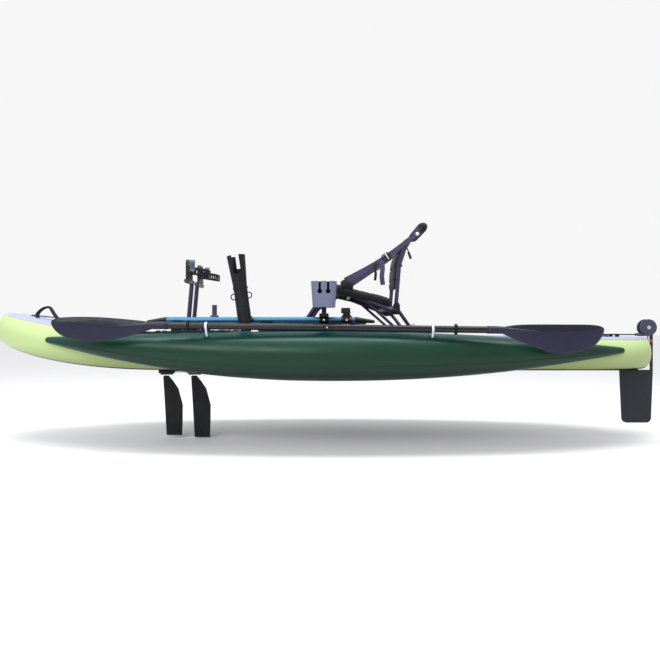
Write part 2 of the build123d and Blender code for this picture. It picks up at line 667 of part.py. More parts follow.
with BuildPart() as spine:
    side_plate(
        (
            (spine_front, SPINE_BOTTOM),
            (spine_rear, SPINE_BOTTOM),
            (spine_rear, DECK_Z + 4),
            (CRANK_X + 46, DECK_Z + 26),
            (CRANK_X + 26, CRANK_Z + 24),
            (CRANK_X - 26, CRANK_Z + 24),
            (CRANK_X - 46, DECK_Z + 30),
            (spine_front + 30, DECK_Z + 14),
            (spine_front, DECK_Z - 10),
        ),
        0,
        2 * SPINE_HALF,
    )
    fillet(spine.edges().filter_by(Axis.Y), 5)
    for x in leg_places:
        with Locations((x, 0, FIN_AXIS_Z)):
            Box(
                LEG_THICKNESS,
                2 * LEG_HALF,
                SPINE_BOTTOM - FIN_AXIS_Z + 1,
                align=(Align.CENTER, Align.CENTER, Align.MIN),
            )
            Cylinder(LEG_HALF, LEG_THICKNESS, rotation=(0, 90, 0))
    drum(CRANK_X, 0, CRANK_Z, SHAFT_RADIUS, 4 * SPINE_HALF, mode=Mode.SUBTRACT)
    with BuildSketch(Plane(origin=(spine_front - 1, 0, FIN_AXIS_Z), z_dir=(1, 0, 0))):
        Circle(FIN_SHAFT_RADIUS)
    extrude(amount=spine_rear - spine_front + 2, mode=Mode.SUBTRACT)
spine.part.label = "drive_spine"
export_step(spine.part, "parts/drive_spine.step")

CRANK_HUB_WIDTH = 20.0
shaft_half = CRANK_SPREAD + CRANK_HUB_WIDTH / 2 + 6

with BuildPart() as crank_shaft:
    drum(CRANK_X, 0, CRANK_Z, SHAFT_RADIUS, 2 * shaft_half)
    for hand in (-1, 1):
        drum(CRANK_X, hand * (shaft_half - 2), CRANK_Z, SHAFT_RADIUS + 6, 4)
crank_shaft.part.label = "crank_shaft"
export_step(crank_shaft.part, "parts/crank_shaft.step")

with BuildPart() as fin_shaft:
    bar((spine_front, 0, FIN_AXIS_Z), (spine_rear, 0, FIN_AXIS_Z), FIN_SHAFT_RADIUS)
fin_shaft.part.label = "fin_shaft"
export_step(fin_shaft.part, "parts/fin_shaft.step")

LOCK_X_PLACES = (spine_front + 12, spine_rear - 12)

with BuildPart() as drive_locks:
    for x in LOCK_X_PLACES:
        for hand in (-1, 1):
            with Locations((x, hand * (WELL_OPEN_WIDTH / 2 + 8), WELL_TOP)):
                Cylinder(11, 12, align=(Align.CENTER, Align.CENTER, Align.MIN))
drive_locks.part.label = "drive_locks"
export_step(drive_locks.part, "parts/drive_locks.step")

CRANK_SWEPT = 20.0
AXLE_RADIUS = 6.0
crank_top = (CRANK_X + CRANK_SWEPT, CRANK_Z + CRANK_LENGTH)
axle_reach = CRANK_SPREAD + CRANK_RADIUS + 4 + PEDAL_WIDTH + 6
PEDAL_HUB_RADIUS = 12.0
STRAP_REACH = 96.0
STRAP_WIDTH = 34.0
STRAP_WALL = 3.0

for side, hand in SIDES:
    reach = hand * CRANK_SPREAD
    with BuildPart() as crank:
        drum(CRANK_X, reach, CRANK_Z, CRANK_HUB_RADIUS, CRANK_HUB_WIDTH)
        bar((CRANK_X, reach, CRANK_Z), (crank_top[0], reach, crank_top[1]), CRANK_RADIUS)
        drum(crank_top[0], reach, crank_top[1], CRANK_RADIUS + 1, 2 * CRANK_RADIUS + 2)
        drum(
            crank_top[0],
            hand * (CRANK_SPREAD + axle_reach) / 2,
            crank_top[1],
            AXLE_RADIUS,
            axle_reach - CRANK_SPREAD,
        )
        drum(crank_top[0], hand * (axle_reach + 1), crank_top[1], AXLE_RADIUS + 4, 4)
        drum(CRANK_X, reach, CRANK_Z, SHAFT_RADIUS + RUNNING, 2 * CRANK_HUB_WIDTH, mode=Mode.SUBTRACT)
    crank.part.label = f"{side}_crank"
    export_step(crank.part, f"parts/{side}_crank.step")

    pedal_middle = hand * (CRANK_SPREAD + CRANK_RADIUS + 4 + PEDAL_WIDTH / 2)
    plate_back = crank_top[0] + PEDAL_HUB_RADIUS - 4
    plate_foot = crank_top[1] - 2
    with BuildPart() as pedal:
        drum(crank_top[0], pedal_middle, crank_top[1], PEDAL_HUB_RADIUS, PEDAL_WIDTH)
        with BuildSketch(
            Plane(origin=(plate_back, pedal_middle, plate_foot), x_dir=(0, -1, 0), z_dir=(-1, 0, 0))
        ):
            with Locations((0, PEDAL_HEIGHT / 2)):
                RectangleRounded(PEDAL_WIDTH, PEDAL_HEIGHT, 18)
        extrude(amount=PEDAL_THICKNESS)
        drum(
            crank_top[0],
            pedal_middle,
            crank_top[1],
            AXLE_RADIUS + RUNNING,
            2 * PEDAL_WIDTH,
            mode=Mode.SUBTRACT,
        )
    pedal.part.label = f"{side}_pedal"
    export_step(pedal.part, f"parts/{side}_pedal.step")

    with BuildPart() as strap:
        with BuildSketch(Plane.XY.offset(crank_top[1] + 38)):
            with Locations((plate_back + STRAP_REACH / 2, pedal_middle)):
                RectangleRounded(STRAP_REACH, PEDAL_WIDTH - 8, 24)
                RectangleRounded(
                    STRAP_REACH - 2 * STRAP_WALL, PEDAL_WIDTH - 8 - 2 * STRAP_WALL, 21, mode=Mode.SUBTRACT
                )
        extrude(amount=STRAP_WIDTH)
    strap.part.label = f"{side}_pedal_strap"
    export_step(strap.part, f"parts/{side}_pedal_strap.step")

FIN_TOP = KNEE_Z - 8
MAST_TILT = 13.0
FIN_KINK = 0.49

for end, mast_x in fin_roots.items():
    drop = 0.0 if end == "front" else 10.0
    with BuildPart() as fin_drum:
        with BuildSketch(Plane(origin=(mast_x - DRUM_AHEAD, 0, FIN_AXIS_Z), z_dir=(1, 0, 0))):
            Circle(DRUM_RADIUS)
            Circle(FIN_SHAFT_RADIUS + RUNNING, mode=Mode.SUBTRACT)
        extrude(amount=DRUM_LENGTH)
        with Locations((mast_x - SLOT_AHEAD, 0, KNEE_Z + KNEE_RADIUS + APART)):
            Box(
                DRUM_LENGTH,
                KNEE_WIDTH + 2 * APART,
                2 * DRUM_RADIUS,
                align=(Align.MIN, Align.CENTER, Align.MAX),
                mode=Mode.SUBTRACT,
            )
        drum(mast_x, 0, KNEE_Z, KNEE_PIN_RADIUS, 22)
    fin_drum.part.label = f"{end}_fin_drum"
    export_step(fin_drum.part, f"parts/{end}_fin_drum.step")

    mast_end = (mast_x + MAST_TILT, 0, KNEE_Z - FIN_SPAN + 20)
    with BuildPart() as mast:
        drum(mast_x, 0, KNEE_Z, KNEE_RADIUS, KNEE_WIDTH)
        bar((mast_x, 0, KNEE_Z), mast_end, MAST_RADIUS)
        drum(mast_x, 0, KNEE_Z, KNEE_PIN_RADIUS + RUNNING, 30, mode=Mode.SUBTRACT)
    mast.part.label = f"{end}_mast"
    export_step(mast.part, f"parts/{end}_mast.step")

    fin_foot = FIN_TOP - FIN_SPAN - drop
    kink_z = FIN_TOP - FIN_KINK * FIN_SPAN
    with BuildPart() as fin:
        side_plate(
            (
                (mast_x - 9, FIN_TOP),
                (mast_x + 19, FIN_TOP),
                (mast_x + 44, FIN_TOP - 30),
                (mast_x + 70, FIN_TOP - 0.22 * FIN_SPAN),
                (mast_x + FIN_CHORD - 2, kink_z),
                (mast_x + FIN_CHORD - 3, FIN_TOP - 0.75 * FIN_SPAN),
                (mast_x + FIN_CHORD - 6, fin_foot),
                (mast_x + MAST_TILT - 4, fin_foot),
            ),
            0,
            FIN_THICKNESS,
        )
        fillet(fin.edges().filter_by(Axis.Y), 6)
        chamfer(fin.faces().filter_by(Axis.Y).edges(), 2)
        mast_way = Vector(*mast_end) - Vector(mast_x, 0, KNEE_Z)
        with BuildSketch(Plane(origin=(mast_x, 0, KNEE_Z), z_dir=mast_way)):
            Circle(MAST_RADIUS)
        extrude(amount=(Vector(*mast_end) - Vector(mast_x, 0, KNEE_Z)).length, mode=Mode.SUBTRACT)
    fin.part.label = f"{end}_fin"
    export_step(fin.part, f"parts/{end}_fin.step")

# ---------------------------------------------------------------- rudder

PIN_X = STERN_X + 13.5
RUDDER_PIN_RADIUS = 5.0
EYE_RADIUS = 9.0
DISC_X = STERN_X + 7
DISC_Z = DECK_Z + RUDDER_DISC_RADIUS + 5
CHEEK = 7.0
CORE_HALF = 11.0
CORE_RADIUS = RUDDER_DISC_RADIUS - 6
STEM_X = PIN_X + 11
STEM_WIDTH = 12.0
TRANSOM_PLATE = 4.0
TRANSOM_HEIGHT = 0.6 * BOARD_THICKNESS
EYE_PLACES = (DECK_Z - 0.72 * BOARD_THICKNESS, DECK_Z - 0.3 * BOARD_THICKNESS)
EYE_HEIGHT = 14.0

with BuildPart() as rudder_bracket:
    with Locations((STERN_X + TRANSOM_PLATE / 2, 0, DECK_Z - BOARD_THICKNESS / 2)):
        Box(TRANSOM_PLATE, 44, TRANSOM_HEIGHT)
    for z in EYE_PLACES:
        with BuildSketch(Plane.XY.offset(z)):
            with Locations((PIN_X, 0)):
                Circle(EYE_RADIUS)
            with Locations(((STERN_X + 1 + PIN_X) / 2, 0)):
                Rectangle(PIN_X - STERN_X - 1, 10)
            with Locations((PIN_X, 0)):
                Circle(RUDDER_PIN_RADIUS + RUNNING, mode=Mode.SUBTRACT)
        extrude(amount=EYE_HEIGHT)
rudder_bracket.part.label = "rudder_bracket"
export_step(rudder_bracket.part, "parts/rudder_bracket.step")

PIN_TOP = DECK_Z + 3.4

with BuildPart() as rudder_pin:
    bar((PIN_X, 0, EYE_PLACES[0] - 10), (PIN_X, 0, PIN_TOP), RUDDER_PIN_RADIUS)
    with BuildSketch(Plane.XY.offset(EYE_PLACES[0] - 14)):
        with Locations((PIN_X, 0)):
            Circle(RUDDER_PIN_RADIUS + 2.5)
    extrude(amount=6)
rudder_pin.part.label = "rudder_pin"
export_step(rudder_pin.part, "parts/rudder_pin.step")

BOLT_RADIUS = 6.0

with BuildPart() as rudder_head:
    for hand in (-1, 1):
        drum(DISC_X, hand * (CORE_HALF + APART + CHEEK / 2), DISC_Z, RUDDER_DISC_RADIUS, CHEEK)
    with Locations(((DISC_X - 36 + PIN_X + 6) / 2, 0, PIN_TOP)):
        Box(
            PIN_X + 6 - DISC_X + 36,
            2 * (CORE_HALF + APART + CHEEK),
            DISC_Z - CORE_RADIUS - APART - PIN_TOP,
            align=(Align.CENTER, Align.CENTER, Align.MIN),
        )
    drum(DISC_X, 0, DISC_Z, BOLT_RADIUS, 6 * CORE_HALF, mode=Mode.SUBTRACT)
rudder_head.part.label = "rudder_head"
export_step(rudder_head.part, "parts/rudder_head.step")

with BuildPart() as rudder_bolt:
    drum(DISC_X, 0, DISC_Z, BOLT_RADIUS, 2 * (CORE_HALF + APART + CHEEK))
    for hand in (-1, 1):
        drum(DISC_X, hand * (CORE_HALF + APART + CHEEK + 2), DISC_Z, BOLT_RADIUS + 4, 4)
rudder_bolt.part.label = "rudder_bolt"
export_step(rudder_bolt.part, "parts/rudder_bolt.step")

BLADE_TOP = -8.0             # just clear of the board when it steers
BLADE_CORNER = 26.0
blade_rear = STEM_X + STEM_WIDTH
blade_front = blade_rear - RUDDER_CHORD

with BuildPart() as rudder_blade:
    drum(DISC_X, 0, DISC_Z, CORE_RADIUS, 2 * CORE_HALF)
    side_plate(
        (
            (DISC_X + 10, DISC_Z + 24),
            (STEM_X + STEM_WIDTH - 6, DISC_Z + 10),
            (blade_rear, DISC_Z - 20),
            (blade_rear, BLADE_TOP),
            (blade_rear - 10, -RUDDER_DEPTH),
            (blade_front + 12, -RUDDER_DEPTH),
            (blade_front, BLADE_TOP),
            (STEM_X, BLADE_TOP),
            (STEM_X, DECK_Z - 4),
            (STEM_X, DISC_Z - CORE_RADIUS + 6),
        ),
        0,
        RUDDER_THICKNESS,
    )
    fillet(rudder_blade.edges().filter_by(Axis.Y).group_by(Axis.Z)[0], BLADE_CORNER)
    drum(DISC_X, 0, DISC_Z, BOLT_RADIUS + RUNNING, 6 * CORE_HALF, mode=Mode.SUBTRACT)
rudder_blade.part.label = "rudder_blade"
export_step(rudder_blade.part, "parts/rudder_blade.step")

# ---------------------------------------------------------------- seat

HINGE_Z = PAD_Z + 153
RAIL_FOOT_X = SEAT_X - 490
SEAT_FRONT_X = SEAT_X - 275
SEAT_FRONT_Z = PAD_Z + 226
SEAT_REAR_Z = PAD_Z + 118
LEG_FOOT_X = SEAT_X + 92
SEAT_LEG_RADIUS = 9.0
FOOT_HEIGHT = 12.0
HINGE_HALF = 13.0
HINGE_PIN_RADIUS = 5.0

with BuildPart() as seat_rails:
    for side, hand in SIDES:
        y = hand * SEAT_SPREAD
        bent_bar(
            (
                (RAIL_FOOT_X, hand * (SEAT_SPREAD - 34), PAD_Z + FOOT_HEIGHT),
                (RAIL_FOOT_X + 95, y, PAD_Z + 150),
                (SEAT_FRONT_X, y, SEAT_FRONT_Z),
                (SEAT_X - 5, y, SEAT_REAR_Z),
            ),
            42,
            SEAT_TUBE_RADIUS,
        )
seat_rails.part.label = "seat_side_rails"
export_step(seat_rails.part, "parts/seat_side_rails.step")


def rail_height(x):
    """Height of the side rail's middle on its long sloping run."""
    return SEAT_FRONT_Z + (SEAT_REAR_Z - SEAT_FRONT_Z) * (x - SEAT_FRONT_X) / (SEAT_X - 5 - SEAT_FRONT_X)


CROSS_RADIUS = 9.0
CROSS_PLACES = (SEAT_FRONT_X + 45, SEAT_X - 60)

with BuildPart() as seat_cross_tubes:
    for x in CROSS_PLACES:
        drum(x, 0, rail_height(x) - 3, CROSS_RADIUS, 2 * SEAT_SPREAD)
    add(seat_rails.part, mode=Mode.SUBTRACT)
    with BuildSketch(Plane.XZ.offset(-SEAT_SPREAD)):
        Rectangle(4 * BOARD_LENGTH, 4 * BOARD_LENGTH)
    extrude(amount=-100, mode=Mode.SUBTRACT)
    with BuildSketch(Plane.XZ.offset(SEAT_SPREAD)):
        Rectangle(4 * BOARD_LENGTH, 4 * BOARD_LENGTH)
    extrude(amount=100, mode=Mode.SUBTRACT)
seat_cross_tubes.part.label = "seat_cross_tubes"
export_step(seat_cross_tubes.part, "parts/seat_cross_tubes.step")

STRUT_RADIUS = 7.0
STRUT_TOP_X = SEAT_X - 165

with BuildPart() as seat_legs:
    for side, hand in SIDES:
        y = hand * SEAT_SPREAD
        foot_y = hand * (SEAT_SPREAD - 34)
        bar((SEAT_X + 6, y, SEAT_REAR_Z + 6), (LEG_FOOT_X, foot_y, PAD_Z + FOOT_HEIGHT - 4), SEAT_LEG_RADIUS)
        bar(
            (STRUT_TOP_X, y, rail_height(STRUT_TOP_X)),
            (LEG_FOOT_X - 62, foot_y, PAD_Z + FOOT_HEIGHT - 4),
            STRUT_RADIUS,
        )
    add(seat_rails.part, mode=Mode.SUBTRACT)
    with BuildSketch(Plane.XY.offset(PAD_Z + FOOT_HEIGHT)):
        Rectangle(4 * BOARD_LENGTH, 4 * BOARD_LENGTH)
    extrude(amount=-100, mode=Mode.SUBTRACT)
seat_legs.part.label = "seat_rear_legs"
export_step(seat_legs.part, "parts/seat_rear_legs.step")

with BuildPart() as seat_feet:
    for side, hand in SIDES:
        foot_y = hand * (SEAT_SPREAD - 34)
        with Locations((RAIL_FOOT_X, foot_y, PAD_Z)):
            Box(60, 34, FOOT_HEIGHT, align=(Align.CENTER, Align.CENTER, Align.MIN))
        with Locations((LEG_FOOT_X - 30, foot_y, PAD_Z)):
            Box(116, 30, FOOT_HEIGHT, align=(Align.CENTER, Align.CENTER, Align.MIN))
    fillet(seat_feet.edges().filter_by(Axis.Z), 8)
    add(seat_rails.part, mode=Mode.SUBTRACT)
seat_feet.part.label = "seat_feet"
export_step(seat_feet.part, "parts/seat_feet.step")

BLOCK_HALF = 9.0
HINGE_INNER = SEAT_SPREAD - SEAT_TUBE_RADIUS - 3

with BuildPart() as seat_hinges:
    for side, hand in SIDES:
        inner = hand * (HINGE_INNER - BLOCK_HALF)
        side_plate(
            (
                (SEAT_X - 26, SEAT_REAR_Z - 10),
                (SEAT_X + 16, SEAT_REAR_Z - 12),
                (SEAT_X + HINGE_HALF + 2, HINGE_Z + 2),
                (SEAT_X + 8, HINGE_Z + HINGE_HALF),
                (SEAT_X - 8, HINGE_Z + HINGE_HALF),
                (SEAT_X - HINGE_HALF - 4, HINGE_Z),
            ),
            inner,
            2 * BLOCK_HALF,
        )
        drum(
            SEAT_X - 8,
            hand * (HINGE_INNER + 10),
            SEAT_REAR_Z + 2,
            7,
            34,
        )
        drum(SEAT_X, inner - hand * (BLOCK_HALF + 12), HINGE_Z, HINGE_PIN_RADIUS, 25)
    add(seat_rails.part, mode=Mode.SUBTRACT)
    add(seat_legs.part, mode=Mode.SUBTRACT)
    add(seat_cross_tubes.part, mode=Mode.SUBTRACT)
seat_hinges.part.label = "seat_hinges"
export_step(seat_hinges.part, "parts/seat_hinges.step")

SEAT_PAD_HALF = SEAT_SPREAD - SEAT_TUBE_RADIUS - 6
PAD_ABOVE = 12.0
pad_front = SEAT_FRONT_X - 20
pad_rear = SEAT_X - 52

with BuildPart() as seat_pad:
    side_plate(
        (
            (pad_front, rail_height(pad_front) + PAD_ABOVE),
            (pad_front, rail_height(pad_front) + PAD_ABOVE + SEAT_PAD_THICKNESS),
            (pad_rear, rail_height(pad_rear) + PAD_ABOVE + SEAT_PAD_THICKNESS),
            (pad_rear, rail_height(pad_rear) + PAD_ABOVE),
        ),
        0,
        2 * SEAT_PAD_HALF,
    )
    fillet(seat_pad.edges().filter_by(Axis.Y), 8)
seat_pad.part.label = "seat_pad"
export_step(seat_pad.part, "parts/seat_pad.step")

# Back frame: two tubes rise from the hinges, lean back and are joined by a top tube.
BACK_KNEE_Z = HINGE_Z + 200
BACK_TOP_X = SEAT_X + 128
BACK_TOP_Z = HINGE_Z + 385

with BuildPart() as back_frame:
    for side, hand in SIDES:
        low_y = hand * BACK_SPREAD
        bent_bar(
            (
                (SEAT_X, low_y, HINGE_Z),
                (SEAT_X + 16, low_y, BACK_KNEE_Z),
                (SEAT_X + 48, hand * (BACK_SPREAD + BACK_TOP_SPREAD) / 2, BACK_KNEE_Z + 105),
                (BACK_TOP_X, hand * BACK_TOP_SPREAD, BACK_TOP_Z),
            ),
            60,
            BACK_TUBE_RADIUS,
        )
        drum(SEAT_X, low_y, HINGE_Z, HINGE_HALF, 2 * BACK_TUBE_RADIUS + 4)
    drum(BACK_TOP_X, 0, BACK_TOP_Z, BACK_TUBE_RADIUS + 1, 2 * BACK_TOP_SPREAD + 26)
    drum(SEAT_X, 0, HINGE_Z, HINGE_PIN_RADIUS + RUNNING, 4 * SEAT_SPREAD, mode=Mode.SUBTRACT)
back_frame.part.label = "seat_back_frame"
export_step(back_frame.part, "parts/seat_back_frame.step")

BACK_PAD_HALF = BACK_SPREAD - BACK_TUBE_RADIUS - 4
BACK_PAD_FOOT = HINGE_Z + 74    # clear of the seat pad when the back folds

with BuildPart() as back_pad:
    side_plate(
        (
            (SEAT_X - BACK_PAD_THICKNESS / 2, BACK_PAD_FOOT),
            (SEAT_X - BACK_PAD_THICKNESS / 2 + 4, BACK_KNEE_Z),
            (SEAT_X + 16, BACK_KNEE_Z + 105),
            (BACK_TOP_X - 40, BACK_TOP_Z - 28),
            (BACK_TOP_X - 22, BACK_TOP_Z - 42),
            (SEAT_X + 42, BACK_KNEE_Z + 92),
            (SEAT_X + BACK_PAD_THICKNESS / 2 + 6, BACK_KNEE_Z),
            (SEAT_X + BACK_PAD_THICKNESS / 2, BACK_PAD_FOOT),
        ),
        0,
        2 * BACK_PAD_HALF,
    )
back_pad.part.label = "seat_back_pad"
export_step(back_pad.part, "parts/seat_back_pad.step")

ROLL_RADIUS = 30.0
ROLL_LENGTH = 2 * BACK_TOP_SPREAD + 40

with BuildPart() as top_roll:
    drum(BACK_TOP_X, 0, BACK_TOP_Z, ROLL_RADIUS, ROLL_LENGTH)
    fillet(top_roll.edges().filter_by(GeomType.CIRCLE), 14)
    add(back_frame.part, mode=Mode.SUBTRACT)
top_roll.part.label = "seat_top_roll"
export_step(top_roll.part, "parts/seat_top_roll.step")

# Side straps run from the seat's front corners to the top of the back.
STRAP_THICK = 2.0
STRAP_Y = BACK_TOP_SPREAD + 28

with BuildPart() as side_straps:
    for side, hand in SIDES:
        with BuildSketch(
            Plane(origin=(0, hand * STRAP_Y + STRAP_THICK / 2, 0), x_dir=(1, 0, 0), z_dir=(0, -1, 0))
        ):
            with BuildLine():
                Polyline(
                    (SEAT_FRONT_X + 14, rail_height(SEAT_FRONT_X) + 58),
                    (SEAT_FRONT_X + 32, rail_height(SEAT_FRONT_X) + 22),
                    (BACK_TOP_X - 16, BACK_TOP_Z - 38),
                    (BACK_TOP_X - 34, BACK_TOP_Z - 24),
                    close=True,
                )
            make_face()
        extrude(amount=STRAP_THICK)
side_straps.part.label = "seat_side_straps"
export_step(side_straps.part, "parts/seat_side_straps.step")

# ---------------------------------------------------------------- paddle

PADDLE_FRONT_X = BOW_X + PADDLE_SETBACK
PADDLE_REAR_X = PADDLE_FRONT_X + PADDLE_LENGTH
NECK = 60.0                  # shaft inside a blade's neck
SHAFT_START = PADDLE_FRONT_X + PADDLE_BLADE_LENGTH - NECK
SHAFT_END = PADDLE_REAR_X - PADDLE_BLADE_LENGTH + NECK


def paddle_height(x):
    """Height of the shaft's middle line, which slopes down a little to the stern."""
    share = (x - PADDLE_FRONT_X) / PADDLE_LENGTH
    return PADDLE_FRONT_HEIGHT + share * (PADDLE_REAR_HEIGHT - PADDLE_FRONT_HEIGHT)


tube_line = [tube_station(step / 200) for step in range(201)]
beside_blades = [
    spread + radius
    for x, spread, middle, radius in tube_line
    if x < PADDLE_FRONT_X + PADDLE_BLADE_LENGTH or x > PADDLE_REAR_X - PADDLE_BLADE_LENGTH
]
paddle_y = -max(beside_blades) - PADDLE_CLEAR
shaft_way = Vector(PADDLE_LENGTH, 0, PADDLE_REAR_HEIGHT - PADDLE_FRONT_HEIGHT)


def shaft_ring(x, radius, width):
    """Flat ring round the paddle shaft, square to it."""
    with BuildSketch(Plane(origin=(x, paddle_y, paddle_height(x)), z_dir=shaft_way)) as section:
        Circle(radius)
        Circle(PADDLE_SHAFT_RADIUS, mode=Mode.SUBTRACT)
    extrude(section.sketch, amount=width / 2, both=True)


with BuildPart() as paddle_shaft:
    bar(
        (SHAFT_START, paddle_y, paddle_height(SHAFT_START)),
        (SHAFT_END, paddle_y, paddle_height(SHAFT_END)),
        PADDLE_SHAFT_RADIUS,
    )
paddle_shaft.part.label = "paddle_shaft"
export_step(paddle_shaft.part, "parts/paddle_shaft.step")

BLADE_OUTSET = BLADE_THICKNESS / 2 + 2

for end, tip_x, way, drop in (
    ("front", PADDLE_FRONT_X, 1, FRONT_BLADE_DROP),
    ("rear", PADDLE_REAR_X, -1, REAR_BLADE_DROP),
):
    neck_x = tip_x + way * PADDLE_BLADE_LENGTH
    neck_z = paddle_height(neck_x)
    tip_z = paddle_height(tip_x)
    with BuildPart() as paddle_blade:
        with BuildSketch(Plane(origin=(0, paddle_y - BLADE_OUTSET, 0), x_dir=(1, 0, 0), z_dir=(0, -1, 0))):
            with BuildLine():
                Spline(
                    (neck_x, neck_z - 9),
                    (tip_x + way * 0.75 * PADDLE_BLADE_LENGTH, neck_z - 0.58 * drop),
                    (tip_x + way * 0.42 * PADDLE_BLADE_LENGTH, tip_z - drop),
                    (tip_x + way * 0.12 * PADDLE_BLADE_LENGTH, tip_z - 0.72 * drop),
                    (tip_x, tip_z - 0.05 * drop),
                    (tip_x + way * 0.06 * PADDLE_BLADE_LENGTH, tip_z + 0.85 * BLADE_RISE),
                    (tip_x + way * 0.4 * PADDLE_BLADE_LENGTH, tip_z + BLADE_RISE),
                    (tip_x + way * 0.8 * PADDLE_BLADE_LENGTH, neck_z + 0.75 * BLADE_RISE),
                    (neck_x, neck_z + 9),
                )
                Line((neck_x, neck_z + 9), (neck_x, neck_z - 9))
            make_face()
        extrude(amount=BLADE_THICKNESS / 2, both=True)
        add(paddle_shaft.part, mode=Mode.SUBTRACT)
    paddle_blade.part.label = f"{end}_paddle_blade"
    export_step(paddle_blade.part, f"parts/{end}_paddle_blade.step")

RING_REACH = 9.0
RING_WIDTH = 8.0

with BuildPart() as drip_rings:
    for x in (PADDLE_FRONT_X + RING_SETBACK, PADDLE_REAR_X - REAR_RING_SETBACK):
        shaft_ring(x, PADDLE_SHAFT_RADIUS + RING_REACH, RING_WIDTH)
drip_rings.part.label = "drip_rings"
export_step(drip_rings.part, "parts/drip_rings.step")

LOOP_PLACES = (RAIL_X + 213, RAIL_X + 1223)
LOOP_WIDTH = 12.0
LOOP_WALL = 2.5

with BuildPart() as paddle_loops:
    for x in LOOP_PLACES:
        shaft_ring(x, PADDLE_SHAFT_RADIUS + LOOP_WALL, LOOP_WIDTH)
paddle_loops.part.label = "paddle_loops"
export_step(paddle_loops.part, "parts/paddle_loops.step")
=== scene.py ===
# %% [markdown]
# # An inflatable pedal kayak
# The boat is a flat drop-stitch board with a fat inflated tube along each side. A fabric seat on
# bent tubes, a pedal drive with two flapping fins, a kick-up rudder, two accessory rails and a
# strapped-on paddle make up the rest.
# The measured parts are loaded first, and nothing that is made later moves them.

# %% Load the measured boat
import bpy
import bmesh
import json
from math import atan2, cos, pi, radians, sin, sqrt
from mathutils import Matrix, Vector

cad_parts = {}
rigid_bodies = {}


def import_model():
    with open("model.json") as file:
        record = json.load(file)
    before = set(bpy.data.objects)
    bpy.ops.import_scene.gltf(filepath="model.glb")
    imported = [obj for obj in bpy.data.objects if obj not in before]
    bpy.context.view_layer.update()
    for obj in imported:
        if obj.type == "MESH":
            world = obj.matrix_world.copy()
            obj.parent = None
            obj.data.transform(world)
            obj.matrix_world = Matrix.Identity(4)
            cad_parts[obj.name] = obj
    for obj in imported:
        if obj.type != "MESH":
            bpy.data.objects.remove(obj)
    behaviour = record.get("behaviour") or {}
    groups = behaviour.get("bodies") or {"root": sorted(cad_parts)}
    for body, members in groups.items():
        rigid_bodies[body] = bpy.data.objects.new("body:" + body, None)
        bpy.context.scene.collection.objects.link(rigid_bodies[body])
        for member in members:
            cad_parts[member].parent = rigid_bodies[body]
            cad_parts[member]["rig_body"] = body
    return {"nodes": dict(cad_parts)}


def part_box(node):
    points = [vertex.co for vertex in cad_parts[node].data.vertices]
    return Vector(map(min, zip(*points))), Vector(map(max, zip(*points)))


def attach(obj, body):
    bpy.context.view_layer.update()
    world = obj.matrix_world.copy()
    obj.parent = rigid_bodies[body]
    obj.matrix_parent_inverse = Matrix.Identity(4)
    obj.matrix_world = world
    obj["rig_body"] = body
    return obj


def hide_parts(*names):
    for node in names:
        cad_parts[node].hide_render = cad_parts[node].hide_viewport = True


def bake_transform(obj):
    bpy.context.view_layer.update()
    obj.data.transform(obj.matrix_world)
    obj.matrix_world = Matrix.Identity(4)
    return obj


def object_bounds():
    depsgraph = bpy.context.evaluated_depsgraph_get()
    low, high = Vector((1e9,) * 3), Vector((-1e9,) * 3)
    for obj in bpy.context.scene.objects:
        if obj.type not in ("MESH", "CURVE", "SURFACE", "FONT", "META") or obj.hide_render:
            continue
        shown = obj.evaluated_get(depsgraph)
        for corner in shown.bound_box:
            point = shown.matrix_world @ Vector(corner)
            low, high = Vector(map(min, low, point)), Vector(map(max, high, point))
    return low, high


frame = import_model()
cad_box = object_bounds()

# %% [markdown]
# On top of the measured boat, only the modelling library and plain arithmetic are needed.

UP = Vector((0, 0, 1))
SIDES = (("port", -1), ("starboard", 1))
print("boat box, metres:", [round(x, 3) for corner in cad_box for x in corner])

# %% [markdown]
# ## The boat's own measurements
# A boat builder works from a table of stations, so the same few numbers are set down once here:
# where the bow and stern are, how thick the board is, and how it rises to the bow. Every later
# piece takes its place from them or from the box of a measured part.

# %% Stations and heights
BOW, STERN = -1.700, 1.665
HALF_BEAM, BOARD_THICK, SKID = 0.266, 0.162, 0.003
DECK = SKID + BOARD_THICK
BOW_RUN, STERN_RUN, BOW_RISE = 0.980, 0.500, 0.140
NOSE, NOSE_DROP, TAIL = 0.085, 0.040, 0.060        # the rounded ends of the board


def board_station(x):
    """Half beam, bottom and deck heights of the board at a station."""
    bow = max(1 - (x - BOW) / BOW_RUN, 0)
    stern = max(1 - (STERN - x) / STERN_RUN, 0)
    half = HALF_BEAM * min(sqrt(max(1 - bow ** 4, 0)), sqrt(max(1 - stern ** 3, 0)))
    bottom = SKID + BOW_RISE * bow ** 2.6
    deck = DECK + BOW_RISE * bow ** 1.5
    nose = max(1 - (x - BOW) / NOSE, 0)
    tail = max(1 - (STERN - x) / TAIL, 0)
    thick = (deck - bottom) * sqrt(max(1 - nose ** 2, 0)) * max(1 - tail ** 4, 0) ** 0.25
    middle = (deck + bottom) / 2 - NOSE_DROP * nose ** 2
    return half, middle - thick / 2, middle + thick / 2


def deck_height(x):
    return board_station(x)[2]


TUBE_FRONT, TUBE_REAR, TUBE_R, TIP_R = BOW + 0.370, STERN - 0.262, 0.114, 0.015
WIDEST, TUBE_TOP, FRONT_DROOP, REAR_DROOP, BOARD_GAP = 0.49, 0.195, 0.028, 0.078, 0.0015


